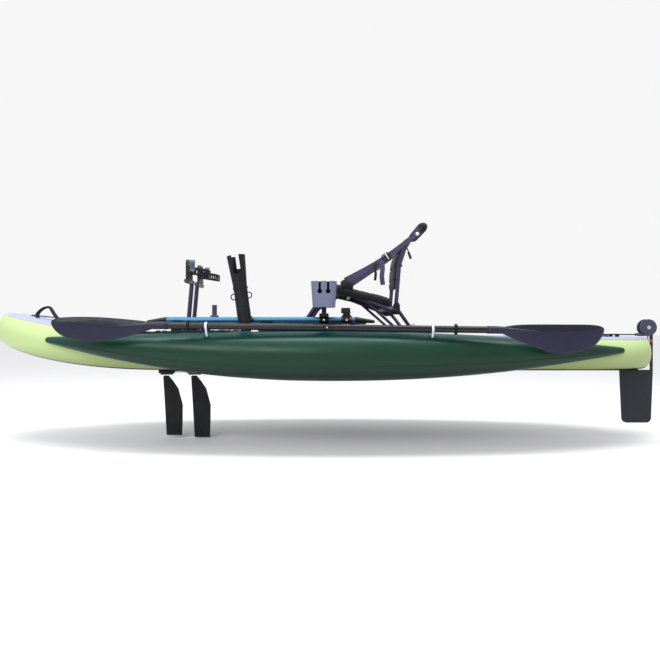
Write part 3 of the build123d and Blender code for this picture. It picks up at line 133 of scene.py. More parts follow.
def tube_station(share):
    """Place, spread, middle height and radius of a side tube at a share of its length."""
    x = TUBE_FRONT + share * (TUBE_REAR - TUBE_FRONT)
    ahead = share < WIDEST
    away = (WIDEST - share) / WIDEST if ahead else (share - WIDEST) / (1 - WIDEST)
    radius = TIP_R + (TUBE_R - TIP_R) * max(1 - away ** 2.1, 0) ** 1.05
    droop = (FRONT_DROOP if ahead else REAR_DROOP) * away ** 2
    return x, board_station(x)[0] + radius + BOARD_GAP, TUBE_TOP - droop - radius, radius


def tube_share(x):
    return (x - TUBE_FRONT) / (TUBE_REAR - TUBE_FRONT)


print("deck amidships", round(deck_height(0), 3), "at the bow handle", round(deck_height(-1.46), 3))

# %% [markdown]
# ## The eye
# The boat is seen from its port side, from about three metres off and a little above the deck, as
# a person crouching on a slipway would see it. The lens takes in about sixty degrees, so the near
# paddle looks larger than the far rail. A very small sideways shift of the lens sets the boat a
# little off the middle.

# %% Camera
EYE = Vector((0.0, -3.0, 0.20))
SENSOR, FOCUS_SHARE, LENS_SHIFT = 36, 0.8690909, 1 / 220   # focal length is over the view's width
camera_data = bpy.data.cameras.new("eye")
camera_data.sensor_width = SENSOR
camera_data.lens = SENSOR * FOCUS_SHARE
camera_data.shift_x = LENS_SHIFT
camera = bpy.data.objects.new("eye", camera_data)
bpy.context.scene.collection.objects.link(camera)
camera.location = EYE
camera.rotation_euler = (radians(90), 0, 0)
bpy.context.scene.camera = camera
print("lens", round(camera_data.lens, 1), "mm")

# %% [markdown]
# ## Making a piece
# Nearly every piece is a skin over a row of cross-sections, so one helper turns rings of points
# into a closed mesh. Others sweep a round bar or a flat strap along a path. A piece is put in
# place as it is made, and then it rides on the body that carries it.

# %% Mesh helpers
def circle(count):
    """Evenly spaced (cosine, sine) pairs round a circle."""
    return [(cos(2 * pi * k / count), sin(2 * pi * k / count)) for k in range(count)]


def rounded(half_u, half_v, corner, steps, inset=0.0):
    """The outline of a rectangle with round corners, as (u, v) pairs."""
    angle = 90 / (steps - 1)
    return [(cu * (half_u - corner) + (corner - inset) * cos(radians(start + angle * step)),
             cv * (half_v - corner) + (corner - inset) * sin(radians(start + angle * step)))
            for cu, cv, start in ((1, 1, 0), (-1, 1, 90), (-1, -1, 180), (1, -1, 270))
            for step in range(steps)]


def plain_object(name, points, faces):
    """One mesh object in the scene, from points and faces."""
    mesh = bpy.data.meshes.new(name)
    mesh.from_pydata([tuple(p) for p in points], [], faces)
    made = bpy.data.objects.new(name, mesh)
    bpy.context.scene.collection.objects.link(made)
    return made


def add_piece(name, points, faces, finish, body, smooth=True, finishes=(), which=None):
    """A piece of the boat: a mesh with its finish, riding on a body."""
    piece = plain_object(name, points, faces)
    mesh = piece.data
    for each in finishes or (finish,):
        mesh.materials.append(each.material)
    for number, face in enumerate(mesh.polygons):
        face.use_smooth = smooth
        if which:
            face.material_index = which[number]
    tidy = bmesh.new()
    tidy.from_mesh(mesh)
    bmesh.ops.recalc_face_normals(tidy, faces=tidy.faces)
    tidy.to_mesh(mesh)
    tidy.free()
    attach(piece, body)
    return piece


def skin(rings, closed_path=False):
    """Points and quads over a row of equal rings, capped at both ends."""
    count, around = len(rings), len(rings[0])
    points = [p for ring in rings for p in ring]
    faces = []
    for i in range(count if closed_path else count - 1):
        a, b = i * around, ((i + 1) % count) * around
        for j in range(around):
            k = (j + 1) % around
            faces.append((a + j, a + k, b + k, b + j))
    if not closed_path:
        faces.append(tuple(reversed(range(around))))
        faces.append(tuple(range((count - 1) * around, count * around)))
    return points, faces


def smooth_path(points, steps=8, closed=False):
    """A curve through the points, as a boat batten bends through its nails."""
    pts = [Vector(p) for p in points]
    count = len(pts)
    out = []
    for i in range(count if closed else count - 1):
        def at(n):
            return pts[n % count] if closed else pts[min(max(n, 0), count - 1)]
        p0, p1, p2, p3 = at(i - 1), at(i), at(i + 1), at(i + 2)
        for s in range(steps):
            t = s / steps
            out.append(0.5 * ((2 * p1) + (p2 - p0) * t + (2 * p0 - 5 * p1 + 4 * p2 - p3) * t * t
                              + (3 * p1 - p0 - 3 * p2 + p3) * t ** 3))
    if not closed:
        out.append(pts[-1])
    return out


def frames_along(path, across=None, closed=False):
    """A point, a side direction and an upright direction at each place of a path."""
    out, count = [], len(path)
    last = None
    for i, p in enumerate(path):
        if closed:
            ahead, behind = path[(i + 1) % count], path[i - 1]
        else:
            ahead, behind = path[min(i + 1, count - 1)], path[max(i - 1, 0)]
        along = (ahead - behind).normalized()
        side = Vector(across) if across else (last if last else Vector((0, 1, 0)))
        side = side - along * side.dot(along)
        if side.length < 1e-5:
            side = Vector((1, 0, 0)) - along * along.x
        side.normalize()
        last = side
        out.append((p, side, along.cross(side).normalized()))
    return out


def round_bar(name, path, radius, finish, body, sides=16, closed=False, taper=None):
    """A round bar or cord core along a path, with an optional radius for each place."""
    rings = []
    places = frames_along([Vector(p) for p in path], closed=closed)
    for n, (p, side, up) in enumerate(places):
        r = taper[n] if taper else radius
        rings.append([p + side * (r * c) + up * (r * s) for c, s in circle(sides)])
    return add_piece(name, *skin(rings, closed), finish, body)


def strap(name, path, across, width, thick, finish, body, closed=False, widths=None):
    """Flat webbing along a path: a thin band with soft edges, lying across one direction."""
    rings = []
    for n, (p, side, up) in enumerate(frames_along([Vector(q) for q in path], across, closed)):
        w, t = (widths[n] if widths else width) / 2, thick / 2
        lip = w - t * 0.6
        section = ((-w, 0), (-lip, -t), (-w / 2, -t), (0, -t), (w / 2, -t), (lip, -t),
                   (w, 0), (lip, t), (w / 2, t), (0, t), (-w / 2, t), (-lip, t))
        rings.append([p + side * a + up * b for a, b in section])
    return add_piece(name, *skin(rings, closed), finish, body)


def turned(name, profile, origin, axis, finish, body, sides=40):
    """A lathe-turned piece: (radius, height) pairs spun round an axis."""
    axis = Vector(axis).normalized()
    side = axis.orthogonal().normalized()
    other = axis.cross(side)
    origin = Vector(origin)
    rings = [[origin + axis * h + (side * c + other * s) * max(r, 1e-5) for c, s in circle(sides)]
             for r, h in profile]
    return add_piece(name, *skin(rings), finish, body)


def soften(piece, width, segments=2, angle=35):
    """Rounds the sharp edges a little, as a mould does."""
    bevel = piece.modifiers.new("soft edges", "BEVEL")
    bevel.width, bevel.segments, bevel.limit_method = width, segments, "ANGLE"
    bevel.angle_limit = radians(angle)
    bevel.harden_normals = False
    return piece


def block(name, centre, size, finish, body, edge=0.002, waist=0.0):
    """A small moulded block with rounded edges, its sides drawn in a little at the middle."""
    rings = []
    corner = min(size[0], size[1]) * 0.3
    for level in (-0.5, -0.25, 0, 0.25, 0.5):
        draw = 1 - waist * (1 - (2 * level) ** 2)
        rings.append([Vector(centre) + Vector((u * draw, v * draw, level * size[2]))
                      for u, v in rounded(size[0] / 2, size[1] / 2, corner, 4)])
    return soften(add_piece(name, *skin(rings), finish, body), edge)


print("helpers ready")

# %% [markdown]
# ## Laced bungee
# A shock cord zigzags over each end, held down under a small webbing loop at every turn. It is made
# first, because its line is settled by the rings alone: one smooth curve through the turns, pulled
# taut between them and only rounded close to each ring.

# %% Bungee lines
BOW_LACE = ((0.235, -0.095), (0.330, 0.130), (0.430, -0.150), (0.530, 0.160))
STERN_LACE = ((0.480, -0.148), (0.400, 0.148), (0.330, -0.148), (0.262, 0.140))
CORD_ABOVE, CORD_DIAMETER, NEAR_RING = 0.015, 0.006, 0.036
POINT_SHARE = 0.01       # a curve point's radius is part of its box, so it is kept small


def on_deck(x, y):
    return Vector((x, y, deck_height(x) + CORD_ABOVE))


bow_turns = [on_deck(BOW + s, y) for s, y in BOW_LACE]
stern_turns = [on_deck(STERN - s, y) for s, y in STERN_LACE]


def laced_line(turns):
    """Control points: each turn, with one more on its runs a little way off."""
    line = []
    for n, turn in enumerate(turns):
        if n:
            line.append(turn + (turns[n - 1] - turn).normalized() * NEAR_RING)
        line.append(turn)
        if n < len(turns) - 1:
            line.append(turn + (turns[n + 1] - turn).normalized() * NEAR_RING)
    return line


def cord_curve(name, line, thick, body):
    """A round cord on one smooth open spline."""
    curve = bpy.data.curves.new(name, "CURVE")
    curve.dimensions = "3D"
    curve.bevel_depth = thick / 2 / POINT_SHARE
    curve.bevel_resolution, curve.resolution_u = 3, 8
    curve.use_fill_caps = True
    spline = curve.splines.new("NURBS")
    spline.points.add(len(line) - 1)
    for place, p in zip(spline.points, line):
        place.co, place.radius = (*p, 1), POINT_SHARE
    spline.order_u = 3
    spline.use_endpoint_u = True
    cord = bpy.data.objects.new(name, curve)
    bpy.context.scene.collection.objects.link(cord)
    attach(cord, body)
    return cord


def line_length(cord):
    """Length along a cord's own middle line."""
    thick = cord.data.bevel_depth
    cord.data.bevel_depth = 0
    ready = cord.evaluated_get(bpy.context.evaluated_depsgraph_get())
    mesh = bpy.data.meshes.new_from_object(ready)
    cord.data.bevel_depth = thick
    total = sum((mesh.vertices[a].co - mesh.vertices[b].co).length
                for a, b in (e.vertices for e in mesh.edges))
    bpy.data.meshes.remove(mesh)
    return total


bungees = []
for name, turns, node in (("bow_shock_cord", bow_turns, "bow_bungee"),
                          ("stern_shock_cord", stern_turns, "stern_bungee")):
    cord = cord_curve(name, laced_line(turns), CORD_DIAMETER, "hull")
    length = line_length(cord)
    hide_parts(node)
    bungees.append(cord)
    print(name, round(length, 3), "m")

# %% [markdown]
# ## Finishes
# Each finish is mixed from nodes, never from a picture, so it looks right from any side and at any
# distance. A Finish starts from one colour. Then it is given what the real surface shows: a slow
# drift of colour, a grain or weave that catches the light, and gloss that varies where hands and
# water have been. The pattern is laid in the boat's own space, so it stays put when a part moves.

# %% A finish and its parts
def paint(code):
    """The light that a colour chip sends back, from its hex code."""
    parts = [int(code[i:i + 2], 16) / 255 for i in (0, 2, 4)]
    return (*[p / 12.92 if p <= 0.04045 else ((p + 0.055) / 1.055) ** 2.4 for p in parts], 1)


class Finish:
    """One material, built up a layer at a time."""

    def __init__(self, name, colour, rough=0.5, metal=0.0, shine=0.25, **sockets):
        self.material = bpy.data.materials.new(name)
        self.material.use_nodes = True
        self.tree = self.material.node_tree
        self.shader = self.tree.nodes["Principled BSDF"]
        self.shader.inputs["Base Color"].default_value = paint(colour)
        self.shader.inputs["Roughness"].default_value = rough
        self.shader.inputs["Metallic"].default_value = metal
        self.shader.inputs["Specular IOR Level"].default_value = shine
        for socket, value in sockets.items():
            self.shader.inputs[socket.replace("_", " ").title()].default_value = value
        self.place = self.node("ShaderNodeTexCoord").outputs["Object"]
        self.colour = paint(colour)
        self.colour_out = None
        self.bump_out = None

    def node(self, kind, links=(), **values):
        made = self.tree.nodes.new(kind)
        for key, value in values.items():
            if key in made.inputs:
                made.inputs[key].default_value = value
            else:
                setattr(made, key, value)
        for key, source in dict(links).items():
            self.tree.links.new(source, made.inputs[key])
        return made

    def stretched(self, scale):
        """The boat's space drawn out along some axes, for brushed or woven patterns."""
        return self.node("ShaderNodeMapping", {"Vector": self.place}, Scale=scale).outputs[0]

    def noise(self, scale, detail=3.0, rough=0.55, space=None, warp=0.0):
        made = self.node("ShaderNodeTexNoise", {"Vector": space or self.place})
        made.inputs["Scale"].default_value = scale
        made.inputs["Detail"].default_value = detail
        made.inputs["Roughness"].default_value = rough
        made.inputs["Distortion"].default_value = warp
        return made.outputs[0]

    def bands(self, pitch, axis="X", space=None, profile="SIN"):
        """Regular ridges, one every pitch metres along an axis."""
        made = self.node("ShaderNodeTexWave", {"Vector": space or self.place})
        made.bands_direction, made.wave_profile = axis, profile
        made.inputs["Scale"].default_value = 2 * pi / (20 * pitch)
        made.inputs["Distortion"].default_value = 0
        made.inputs["Detail"].default_value = 0
        return made.outputs[1]

    def sum_of(self, a, b, how="MULTIPLY"):
        made = self.node("ShaderNodeMath", operation=how)
        for socket, source in zip(made.inputs, (a, b)):
            if isinstance(source, (int, float)):
                socket.default_value = source
            else:
                self.tree.links.new(source, socket)
        return made.outputs[0]

    def between(self, source, low, high, out_low=0.0, out_high=1.0):
        """Stretches the part of a pattern between low and high over a new range."""
        made = self.node("ShaderNodeMapRange", {"Value": source})
        for socket, value in zip(made.inputs[1:5], (low, high, out_low, out_high)):
            socket.default_value = value
        return made.outputs[0]

    def tint(self, share, colour):
        """Lays a second colour over the first wherever the share says."""
        mix = self.node("ShaderNodeMix", data_type="RGBA")
        self.tree.links.new(share, mix.inputs[0])
        if self.colour_out:
            self.tree.links.new(self.colour_out, mix.inputs[6])
        else:
            mix.inputs[6].default_value = self.colour
        mix.inputs[7].default_value = paint(colour)
        self.colour_out = mix.outputs[2]
        self.tree.links.new(self.colour_out, self.shader.inputs["Base Color"])
        return self

    def gloss(self, source, low, high):
        """Roughness that follows a pattern."""
        self.tree.links.new(self.between(source, 0.3, 0.7, low, high), self.shader.inputs["Roughness"])
        return self

    def relief(self, height, depth, strength=1.0):
        """Height in the surface, depth metres from its hollows to its tops."""
        bump = self.node("ShaderNodeBump", {"Height": height})
        bump.inputs["Strength"].default_value = strength
        bump.inputs["Distance"].default_value = depth
        if self.bump_out:
            self.tree.links.new(self.bump_out, bump.inputs["Normal"])
        self.bump_out = bump.outputs[0]
        self.tree.links.new(self.bump_out, self.shader.inputs["Normal"])
        return self

    def height_above(self, low, high):
        """A share that goes from 0 to 1 between two heights of the boat."""
        split = self.node("ShaderNodeSeparateXYZ", {"Vector": self.place})
        return self.between(split.outputs[2], low, high)


print("finish tools ready")

# %% [markdown]
# ### Coated fabric
# The board and the tubes are polyester cloth with PVC pressed on both sides. The cloth's weave
# prints through the coating as a very fine grid, large flats drift a little in colour, and handling
# leaves the gloss uneven. The board's lime skin is satin, and the tubes' green one is glossier.

# %% Coated fabric finishes
WEAVE_PITCH = 0.0016


def coated_fabric(name, colour, shade, rough, coat):
    made = Finish(name, colour, rough, shine=0.18, coat_weight=coat, coat_roughness=0.22)
    made.tint(made.between(made.noise(2.2, 2.0), 0.35, 0.75, 0.0, 0.55), shade)
    scrim = made.sum_of(made.bands(WEAVE_PITCH, "X"), made.bands(WEAVE_PITCH, "DIAGONAL"))
    made.relief(scrim, 0.00006, 0.5)
    made.relief(made.noise(14, 3.0), 0.0012, 0.35)
    made.gloss(made.noise(6, 4.0), rough - 0.05, rough + 0.12)
    return made


def painted_light_by_height(finish, low, high, at_low, at_high, colour):
    """A second colour that fades in or out between two heights of the boat, used for painted shade low
    down and for a painted highlight high up.
    """
    finish.tint(finish.between(finish.height_above(low, high), 0, 1, at_low, at_high), colour)


lime_skin = coated_fabric("lime_coated_fabric", "AEC288", "A0B47C", 0.42, 0.08)
# Painted shade: the lime side is painted darker olive towards the bottom.
painted_light_by_height(lime_skin, -0.01, 0.13, 0.85, 0.0, "6E7840")
deck_skin = coated_fabric("grey_deck_fabric", "9FA5C4", "9096B4", 0.50, 0.05)
hull_skin = coated_fabric("dark_bottom_fabric", "1B1C2A", "14141E", 0.50, 0.05)
tube_skin = coated_fabric("green_tube_fabric", "0C3525", "09291C", 0.30, 0.09)
# Painted shade: the green tube is painted darker towards its bottom.
painted_light_by_height(tube_skin, -0.02, 0.13, 0.85, 0.0, "071D13")
# Painted highlight: a teal sheen is painted along the top of the green tube.
painted_light_by_height(tube_skin, 0.13, 0.19, 0.0, 0.75, "1A4648")
seam_tape = coated_fabric("green_seam_tape", "0B2C1F", "092418", 0.38, 0.07)
print("coated fabrics:", lime_skin.material.name, deck_skin.material.name, tube_skin.material.name)

# %% [markdown]
# ### Foam, moulded plastic and rubber
# Deck foam is full of tiny closed cells, so its surface is pitted. Moulded plastic carries the
# spark-eroded grain of its mould and shines a little where it rubs. Fin rubber is smooth and dull
# with chalky scuffs. One helper makes all of them from a grain size and a depth.

# %% Foam, plastic and rubber finishes
def moulded(name, colour, worn, rough, grain=900, depth=0.00012, wear=0.30, **sockets):
    made = Finish(name, colour, rough, **sockets)
    made.tint(made.between(made.noise(38, 5.0, 0.65), 0.58, 0.80, 0.0, wear), worn)
    made.tint(made.between(made.noise(5, 2.0), 0.4, 0.7, 0.0, wear * 0.6), worn)
    made.relief(made.noise(grain, 2.0), depth, 0.6)
    made.gloss(made.noise(22, 4.0), rough - 0.08, rough + 0.12)
    return made


deck_foam = moulded("closed_cell_foam", "8C90A6", "7C8096", 0.82, 1400, 0.0004, 0.5)
black_plastic = moulded("black_moulded_plastic", "0A0A0E", "1C1C24", 0.46)
gloss_black = moulded("glossy_black_plastic", "07070B", "12121A", 0.34, 500, 0.00006, 0.2,
                      coat_weight=0.08)
cup_plastic = moulded("blue_grey_plastic", "5F667C", "747B92", 0.42, 900, 0.0001, 0.35)
head_plastic = moulded("rudder_head_plastic", "383B49", "4A4E5E", 0.42)
rudder_skin = moulded("rudder_blade_plastic", "22222B", "2F2F39", 0.48, 700, 0.00015, 0.35)
fin_rubber = moulded("fin_rubber", "0C0C10", "1A1A20", 0.55, 500, 0.00012, 0.45)
soft_rubber = moulded("ring_rubber", "0A0A0D", "1A1A1F", 0.7)
red_plastic = moulded("red_plastic", "B01E22", "D8494A", 0.38)
white_plastic = moulded("white_webbing_loop", "CFCDD9", "B4B1C4", 0.55)
skid_rubber = moulded("skid_rubber", "17171B", "2C2C33", 0.75, 600, 0.0004)
print("moulded finishes ready")

# %% [markdown]
# ### Drawn and anodised metal
# The rails, cranks and seat tubes are aluminium: drawn through a die, which leaves hair lines along
# the bar, then anodised in colour. The pedal pins and shafts are plain steel.
# Hair lines are a noise pattern stretched a hundredfold along the bar.

# %% Metal finishes
def drawn_metal(name, colour, shade, rough, lines=(4, 500, 500), metal=1.0):
    made = Finish(name, colour, rough, metal)
    hair = made.noise(1.0, 3.0, 0.6, made.stretched(lines))
    made.tint(made.between(hair, 0.4, 0.75, 0.0, 0.5), shade)
    made.tint(made.between(made.noise(26, 4.0, 0.7), 0.62, 0.8, 0.0, 0.25), shade)
    made.relief(hair, 0.00004, 0.5)
    made.gloss(hair, rough - 0.05, rough + 0.1)
    return made


rail_metal = drawn_metal("blue_anodised_rail", "2F617F", "1E4661", 0.30, metal=0.75)
crank_metal = drawn_metal("anodised_crank", "48435A", "2A2637", 0.26, (500, 500, 5), metal=0.8)
seat_metal = drawn_metal("anodised_seat_tube", "4A455C", "262333", 0.24, (60, 400, 60), metal=0.8)
dark_metal = drawn_metal("black_anodised_tube", "1A1921", "0F0F14", 0.32, (60, 400, 60), metal=0.6)
steel = drawn_metal("plain_steel", "C9CAD0", "9A9BA3", 0.26, (60, 400, 60))
print("metals ready")

# %% [markdown]
# ### Webbing, mesh and cord
# Webbing is woven in ribs across its width with a herringbone over them. The seat fabric is a
# spacer mesh: rows of small open cells over a dark core. Bungee has a braided sleeve with a pale
# fleck. All three are crossed bands, differing in pitch and slope.

# %% Woven finishes
def woven(name, colour, fleck, pitch, rough=0.72, depth=0.0004, sheen=0.05, share=0.5):
    made = Finish(name, colour, rough, sheen_weight=sheen, sheen_roughness=0.5)
    ribs = made.bands(pitch, "X", profile="TRI")
    cross = made.bands(pitch * 0.8, "Z", profile="TRI")
    over = made.bands(pitch * 0.9, "DIAGONAL", profile="TRI")
    cloth = made.sum_of(made.sum_of(ribs, cross, "ADD"), over, "ADD")
    made.tint(made.between(cloth, 1.1, 2.6, 0.0, share), fleck)
    made.tint(made.between(made.noise(9, 3.0), 0.45, 0.75, 0.0, 0.35), fleck)
    made.relief(cloth, depth, 0.55)
    made.relief(made.noise(60, 3.0), 0.0008, 0.3)
    return made


webbing = woven("purple_grey_webbing", "39344C", "524C6A", 0.0022)
black_webbing = woven("black_webbing", "0D0D13", "1F1F28", 0.0022)
seat_mesh = woven("spacer_mesh", "17151F", "332F42", 0.0042, 0.8, 0.0009, 0.08)
seat_cloth = woven("seat_cloth", "0F0E14", "221F2B", 0.0018, 0.78, 0.0004, 0.06)
piping = woven("seat_piping", "2C2938", "464257", 0.0016, 0.7)
bungee_cord = woven("braided_bungee", "101016", "6A6A80", 0.0040, 0.65, 0.0003, 0.05, 0.4)
print("woven finishes ready")

# %% [markdown]
# ### The paddle
# The blades are glass-filled nylon, navy and slightly cloudy where the fibres lie near the surface.
# The shaft is a wound tube: two sets of fibre bands cross under a clear gloss.

# %% Paddle finishes
blade_nylon = moulded("navy_glass_nylon", "181A30", "22253E", 0.38, 300, 0.00015, 0.5, coat_weight=0.05)
blade_nylon.relief(blade_nylon.noise(1.0, 4.0, 0.6, blade_nylon.stretched((12, 90, 90))), 0.0004, 0.4)
shaft_tube = Finish("wound_shaft", "0B0B11", 0.24, coat_weight=0.2, coat_roughness=0.08)
crossing = shaft_tube.sum_of(shaft_tube.bands(0.006, "DIAGONAL"), shaft_tube.bands(0.006, "X"))
shaft_tube.tint(shaft_tube.between(crossing, 0.2, 0.8, 0.0, 0.4), "1B1B28")
shaft_tube.relief(crossing, 0.00005, 0.5)
shaft_tube.gloss(shaft_tube.noise(18, 3.0), 0.18, 0.34)
print("paddle finishes ready")

# %% [markdown]
# ## Dressing the measured parts
# Many measured parts already have their true shape, such as tubes, drums and clamps. They keep it,
# and only take a finish and a small rounding of their edges, as a mould or a deburring file leaves.

# %% Measured parts that stay
def dress(finish, *names, edge=0.0):
    for name in names:
        part = frame["nodes"][name]
        part.data.materials.clear()
        part.data.materials.append(finish.material)
        if edge:
            soften(part, edge)
    print(finish.material.name, "on", len(names), "parts")


dress(black_plastic, "drive_well", "rod_holder_clamp", "cup_holder_mount", "steering_base", "seat_feet",
      "seat_hinges", "rudder_bracket", "port_rail_brackets", "starboard_rail_brackets",
      "front_fin_drum", "rear_fin_drum", "drive_spine", edge=0.0012)
dress(black_plastic, "rod_holder", "steering_handle", edge=0.0015)
dress(gloss_black, "rail_end_caps", "port_pedal", "starboard_pedal", edge=0.0015)
dress(cup_plastic, "cup_holder", edge=0.0015)
dress(head_plastic, "drive_locks", edge=0.002)
dress(rail_metal, "port_rail", "starboard_rail")
dress(crank_metal, "port_crank", "starboard_crank")
dress(seat_metal, "seat_side_rails", "seat_rear_legs", "seat_back_frame")
dress(dark_metal, "seat_cross_tubes")
dress(steel, "crank_shaft", "fin_shaft", "front_mast", "rear_mast", "rudder_pin", "rudder_bolt")
dress(fin_rubber, "front_fin", "rear_fin", edge=0.001)
dress(rudder_skin, "rudder_blade", edge=0.002)
dress(head_plastic, "rudder_head", "accessory_post", edge=0.002)
dress(shaft_tube, "paddle_shaft")
dress(soft_rubber, "drip_rings", edge=0.0015)
dress(skid_rubber, "skid_patch")

# %% [markdown]
# ## The board
# A drop-stitch board is two flat skins tied by thousands of threads, so it blows up flat with
# half-round sides. It could be cut from a block, but a skin over eighty-odd cross-sections follows
# the rising bow and blunt stern far more smoothly. The deck cloth is grey and wraps a finger's
# width over the side, the side is lime, and a dark wear layer covers the bottom.

# %% Board skin
SIDE_STEPS, DECK_STEPS = 14, 12
LEAST_THICK, LEAST_FLAT, LIME_NOSE = 0.0008, 0.0004, 0.014


def board_ring(x):
    """One closed cross-section: bottom, port side, deck, starboard side."""
    half, low, high = board_station(x)
    r = max(high - low, LEAST_THICK) / 2
    flat = max(half - r, LEAST_FLAT)
    middle = (high + low) / 2
    ring = []
    for way, level in ((-1, low), (1, high)):
        ring += [Vector((x, way * (2 * flat * k / DECK_STEPS - flat), level)) for k in range(DECK_STEPS)]
        ring += [Vector((x, way * (flat + r * sin(pi * k / SIDE_STEPS)),
                         middle + way * r * cos(pi * k / SIDE_STEPS)))
                 for k in range(SIDE_STEPS)]
    return ring


# Cross-sections stand close together at both rounded ends, and further apart amidships.
stations = [BOW + s for s in (0.0006, 0.003, 0.007, 0.012, 0.02, 0.03, 0.042, 0.056, 0.07, 0.085, 0.1)]
stations += [BOW + 0.1 + (BOW_RUN - 0.1) * k / 30 for k in range(1, 31)]
stations += [-0.72 + 0.11 * k for k in range(1, 17)]
stations += [STERN - STERN_RUN + (STERN_RUN - TAIL) * k / 18 for k in range(19)]
stations += [STERN - s for s in (0.052, 0.042, 0.032, 0.023, 0.015, 0.008, 0.003, 0.0006)]
rings = [board_ring(x) for x in stations]
points, faces = skin(rings)
around, deck_from, lap = len(rings[0]), DECK_STEPS + SIDE_STEPS, 2


def board_cloth(number):
    """Which cloth covers a face: 0 grey deck, 1 lime side, 2 dark bottom."""
    place = number % around
    x = stations[min(number // around, len(stations) - 1)]
    if number >= len(faces) - 2 or x < BOW + LIME_NOSE:
        return 1
    if place < DECK_STEPS + lap or place >= around - lap:
        return 2
    return 0 if deck_from - lap <= place < deck_from + DECK_STEPS + lap else 1


board = add_piece("board_skin", points, faces, None, "hull", finishes=(deck_skin, lime_skin, hull_skin),
                  which=[board_cloth(number) for number in range(len(faces))])
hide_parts("drop_stitch_board")
print("board:", len(rings), "cross-sections,", len(faces), "faces")

# %% [markdown]
# The pedal drive drops through a slot in the board. A boolean cut takes the slot out of the skin,
# and the moulded well that is already there lines it.

# %% Slot through the board
well_low, well_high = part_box("drive_well")
SLOT_HALF_LONG, SLOT_HALF_WIDE, SLOT_CORNER = 0.153, 0.046, 0.02
slot_middle = (well_low.x + well_high.x) / 2
outline = rounded(SLOT_HALF_LONG, SLOT_HALF_WIDE, SLOT_CORNER, 7)
cutter = plain_object("slot_cutter", *skin([[Vector((slot_middle + u, v, z)) for u, v in outline]
                                            for z in (-0.05, 0.4)]))


def cut_away(piece, cutters):
    """Takes the cutters out of a piece and leaves plain mesh behind."""
    for tool in cutters:
        cut = piece.modifiers.new("cut", "BOOLEAN")
        cut.operation, cut.solver, cut.object = "DIFFERENCE", "EXACT", tool
    settle(piece)
    for tool in cutters:
        bpy.data.objects.remove(tool)


def settle(piece):
    """Turns a piece's modifiers into mesh."""
    ready = piece.evaluated_get(bpy.context.evaluated_depsgraph_get())
    mesh = bpy.data.meshes.new_from_object(ready)
    piece.modifiers.clear()
    piece.data = mesh
    return piece


cut_away(board, [cutter])
print("slot cut, board now", len(board.data.polygons), "faces")

# %% [markdown]
# Where deck cloth laps over the lime side a welded tape hides the join. It is modelled as a real
# strip, a millimetre proud, so that its edge catches the light along the whole boat.

# %% Welded tapes along the board
TAPE_EDGES = ((56, -0.001), (56.4, 0.0009), (64, 0.0010), (71.6, 0.0009),
              (72, -0.001))   # degrees up, and proud
TAPE_FROM, TAPE_TO, TAPE_PLACES = BOW + 0.03, STERN - 0.02, 90


def board_side_point(x, hand, angle, proud):
    """A point on the board's round side, at an angle up from its middle line."""
    half, low, high = board_station(x)
    r = (high - low) / 2
    return Vector((x, hand * (half - r + (r + proud) * cos(angle)),
                   (high + low) / 2 + (r + proud) * sin(angle)))


for side, hand in SIDES:
    rings = []
    for k in range(TAPE_PLACES):
        x = TAPE_FROM + (TAPE_TO - TAPE_FROM) * k / (TAPE_PLACES - 1)
        rings.append([board_side_point(x, hand, radians(angle), proud) for angle, proud in TAPE_EDGES])
    tape = add_piece(f"{side}_deck_tape", *skin(rings), deck_skin, "hull")
print("deck tapes on")

# %% [markdown]
# ## The side tubes
# Each tube is a long spindle of green coated cloth, cut in gores and welded. Air makes it round and
# hard, with a pointed cone at each end. It is skinned over round stations like the board, and takes
# one lengthwise seam tape low on its outer side and another high on its inner side.

# %% Side tubes
TUBE_STATIONS, TUBE_SIDES, TIP_REACH = 110, 56, 0.014
SEAM_EDGES = ((-3.0, -0.0008), (-2.5, 0.0007), (0, 0.0010), (2.5, 0.0007),
              (3.0, -0.0008))   # degrees, proud


def tube_point(hand, station, angle, proud=0.0, shrink=1.0, ahead=0.0):
    """A point on a side tube, at an angle up from its outer side."""
    x, spread, middle, radius = station
    r = (radius + proud) * shrink
    return Vector((x + ahead, hand * (spread + r * cos(angle)), middle + r * sin(angle)))


def tube_ring(hand, station, **more):
    return [tube_point(hand, station, 2 * pi * j / TUBE_SIDES, **more) for j in range(TUBE_SIDES)]


tube_places = [tube_station((1 - cos(pi * k / TUBE_STATIONS)) / 2) for k in range(TUBE_STATIONS + 1)]
for side, hand in SIDES:
    # The tips are closed with a few shrinking rings, like a thimble.
    tips = [[tube_ring(hand, tube_places[end], shrink=cos(radians(a)),
                       ahead=way * TIP_REACH * sin(radians(a)))
             for a in (25, 50, 75, 86)] for end, way in ((0, -1), (-1, 1))]
    rings = tips[0][::-1] + [tube_ring(hand, place) for place in tube_places] + tips[1]
    tube = add_piece(f"{side}_tube_skin", *skin(rings), tube_skin, "hull")
    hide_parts(f"{side}_side_tube")
    for seam_name, angle in (("low_seam", -24), ("inner_seam", 152)):
        strip = []
        for place in tube_places[4:TUBE_STATIONS - 3]:
            spread_out = min(TUBE_R / place[3], 4)       # keeps the tape's width on the thin tips
            strip.append([tube_point(hand, place, radians(angle + turn * spread_out), proud)
                          for turn, proud in SEAM_EDGES])
        tape = add_piece(f"{side}_tube_{seam_name}", *skin(strip), seam_tape, "hull")
print("tubes and seams made")

# %% [markdown]
# A daisy chain of webbing, sewn down every few centimetres, runs along each crest over a welded
# bead. Both stop short of the rod holder, which tilts there.

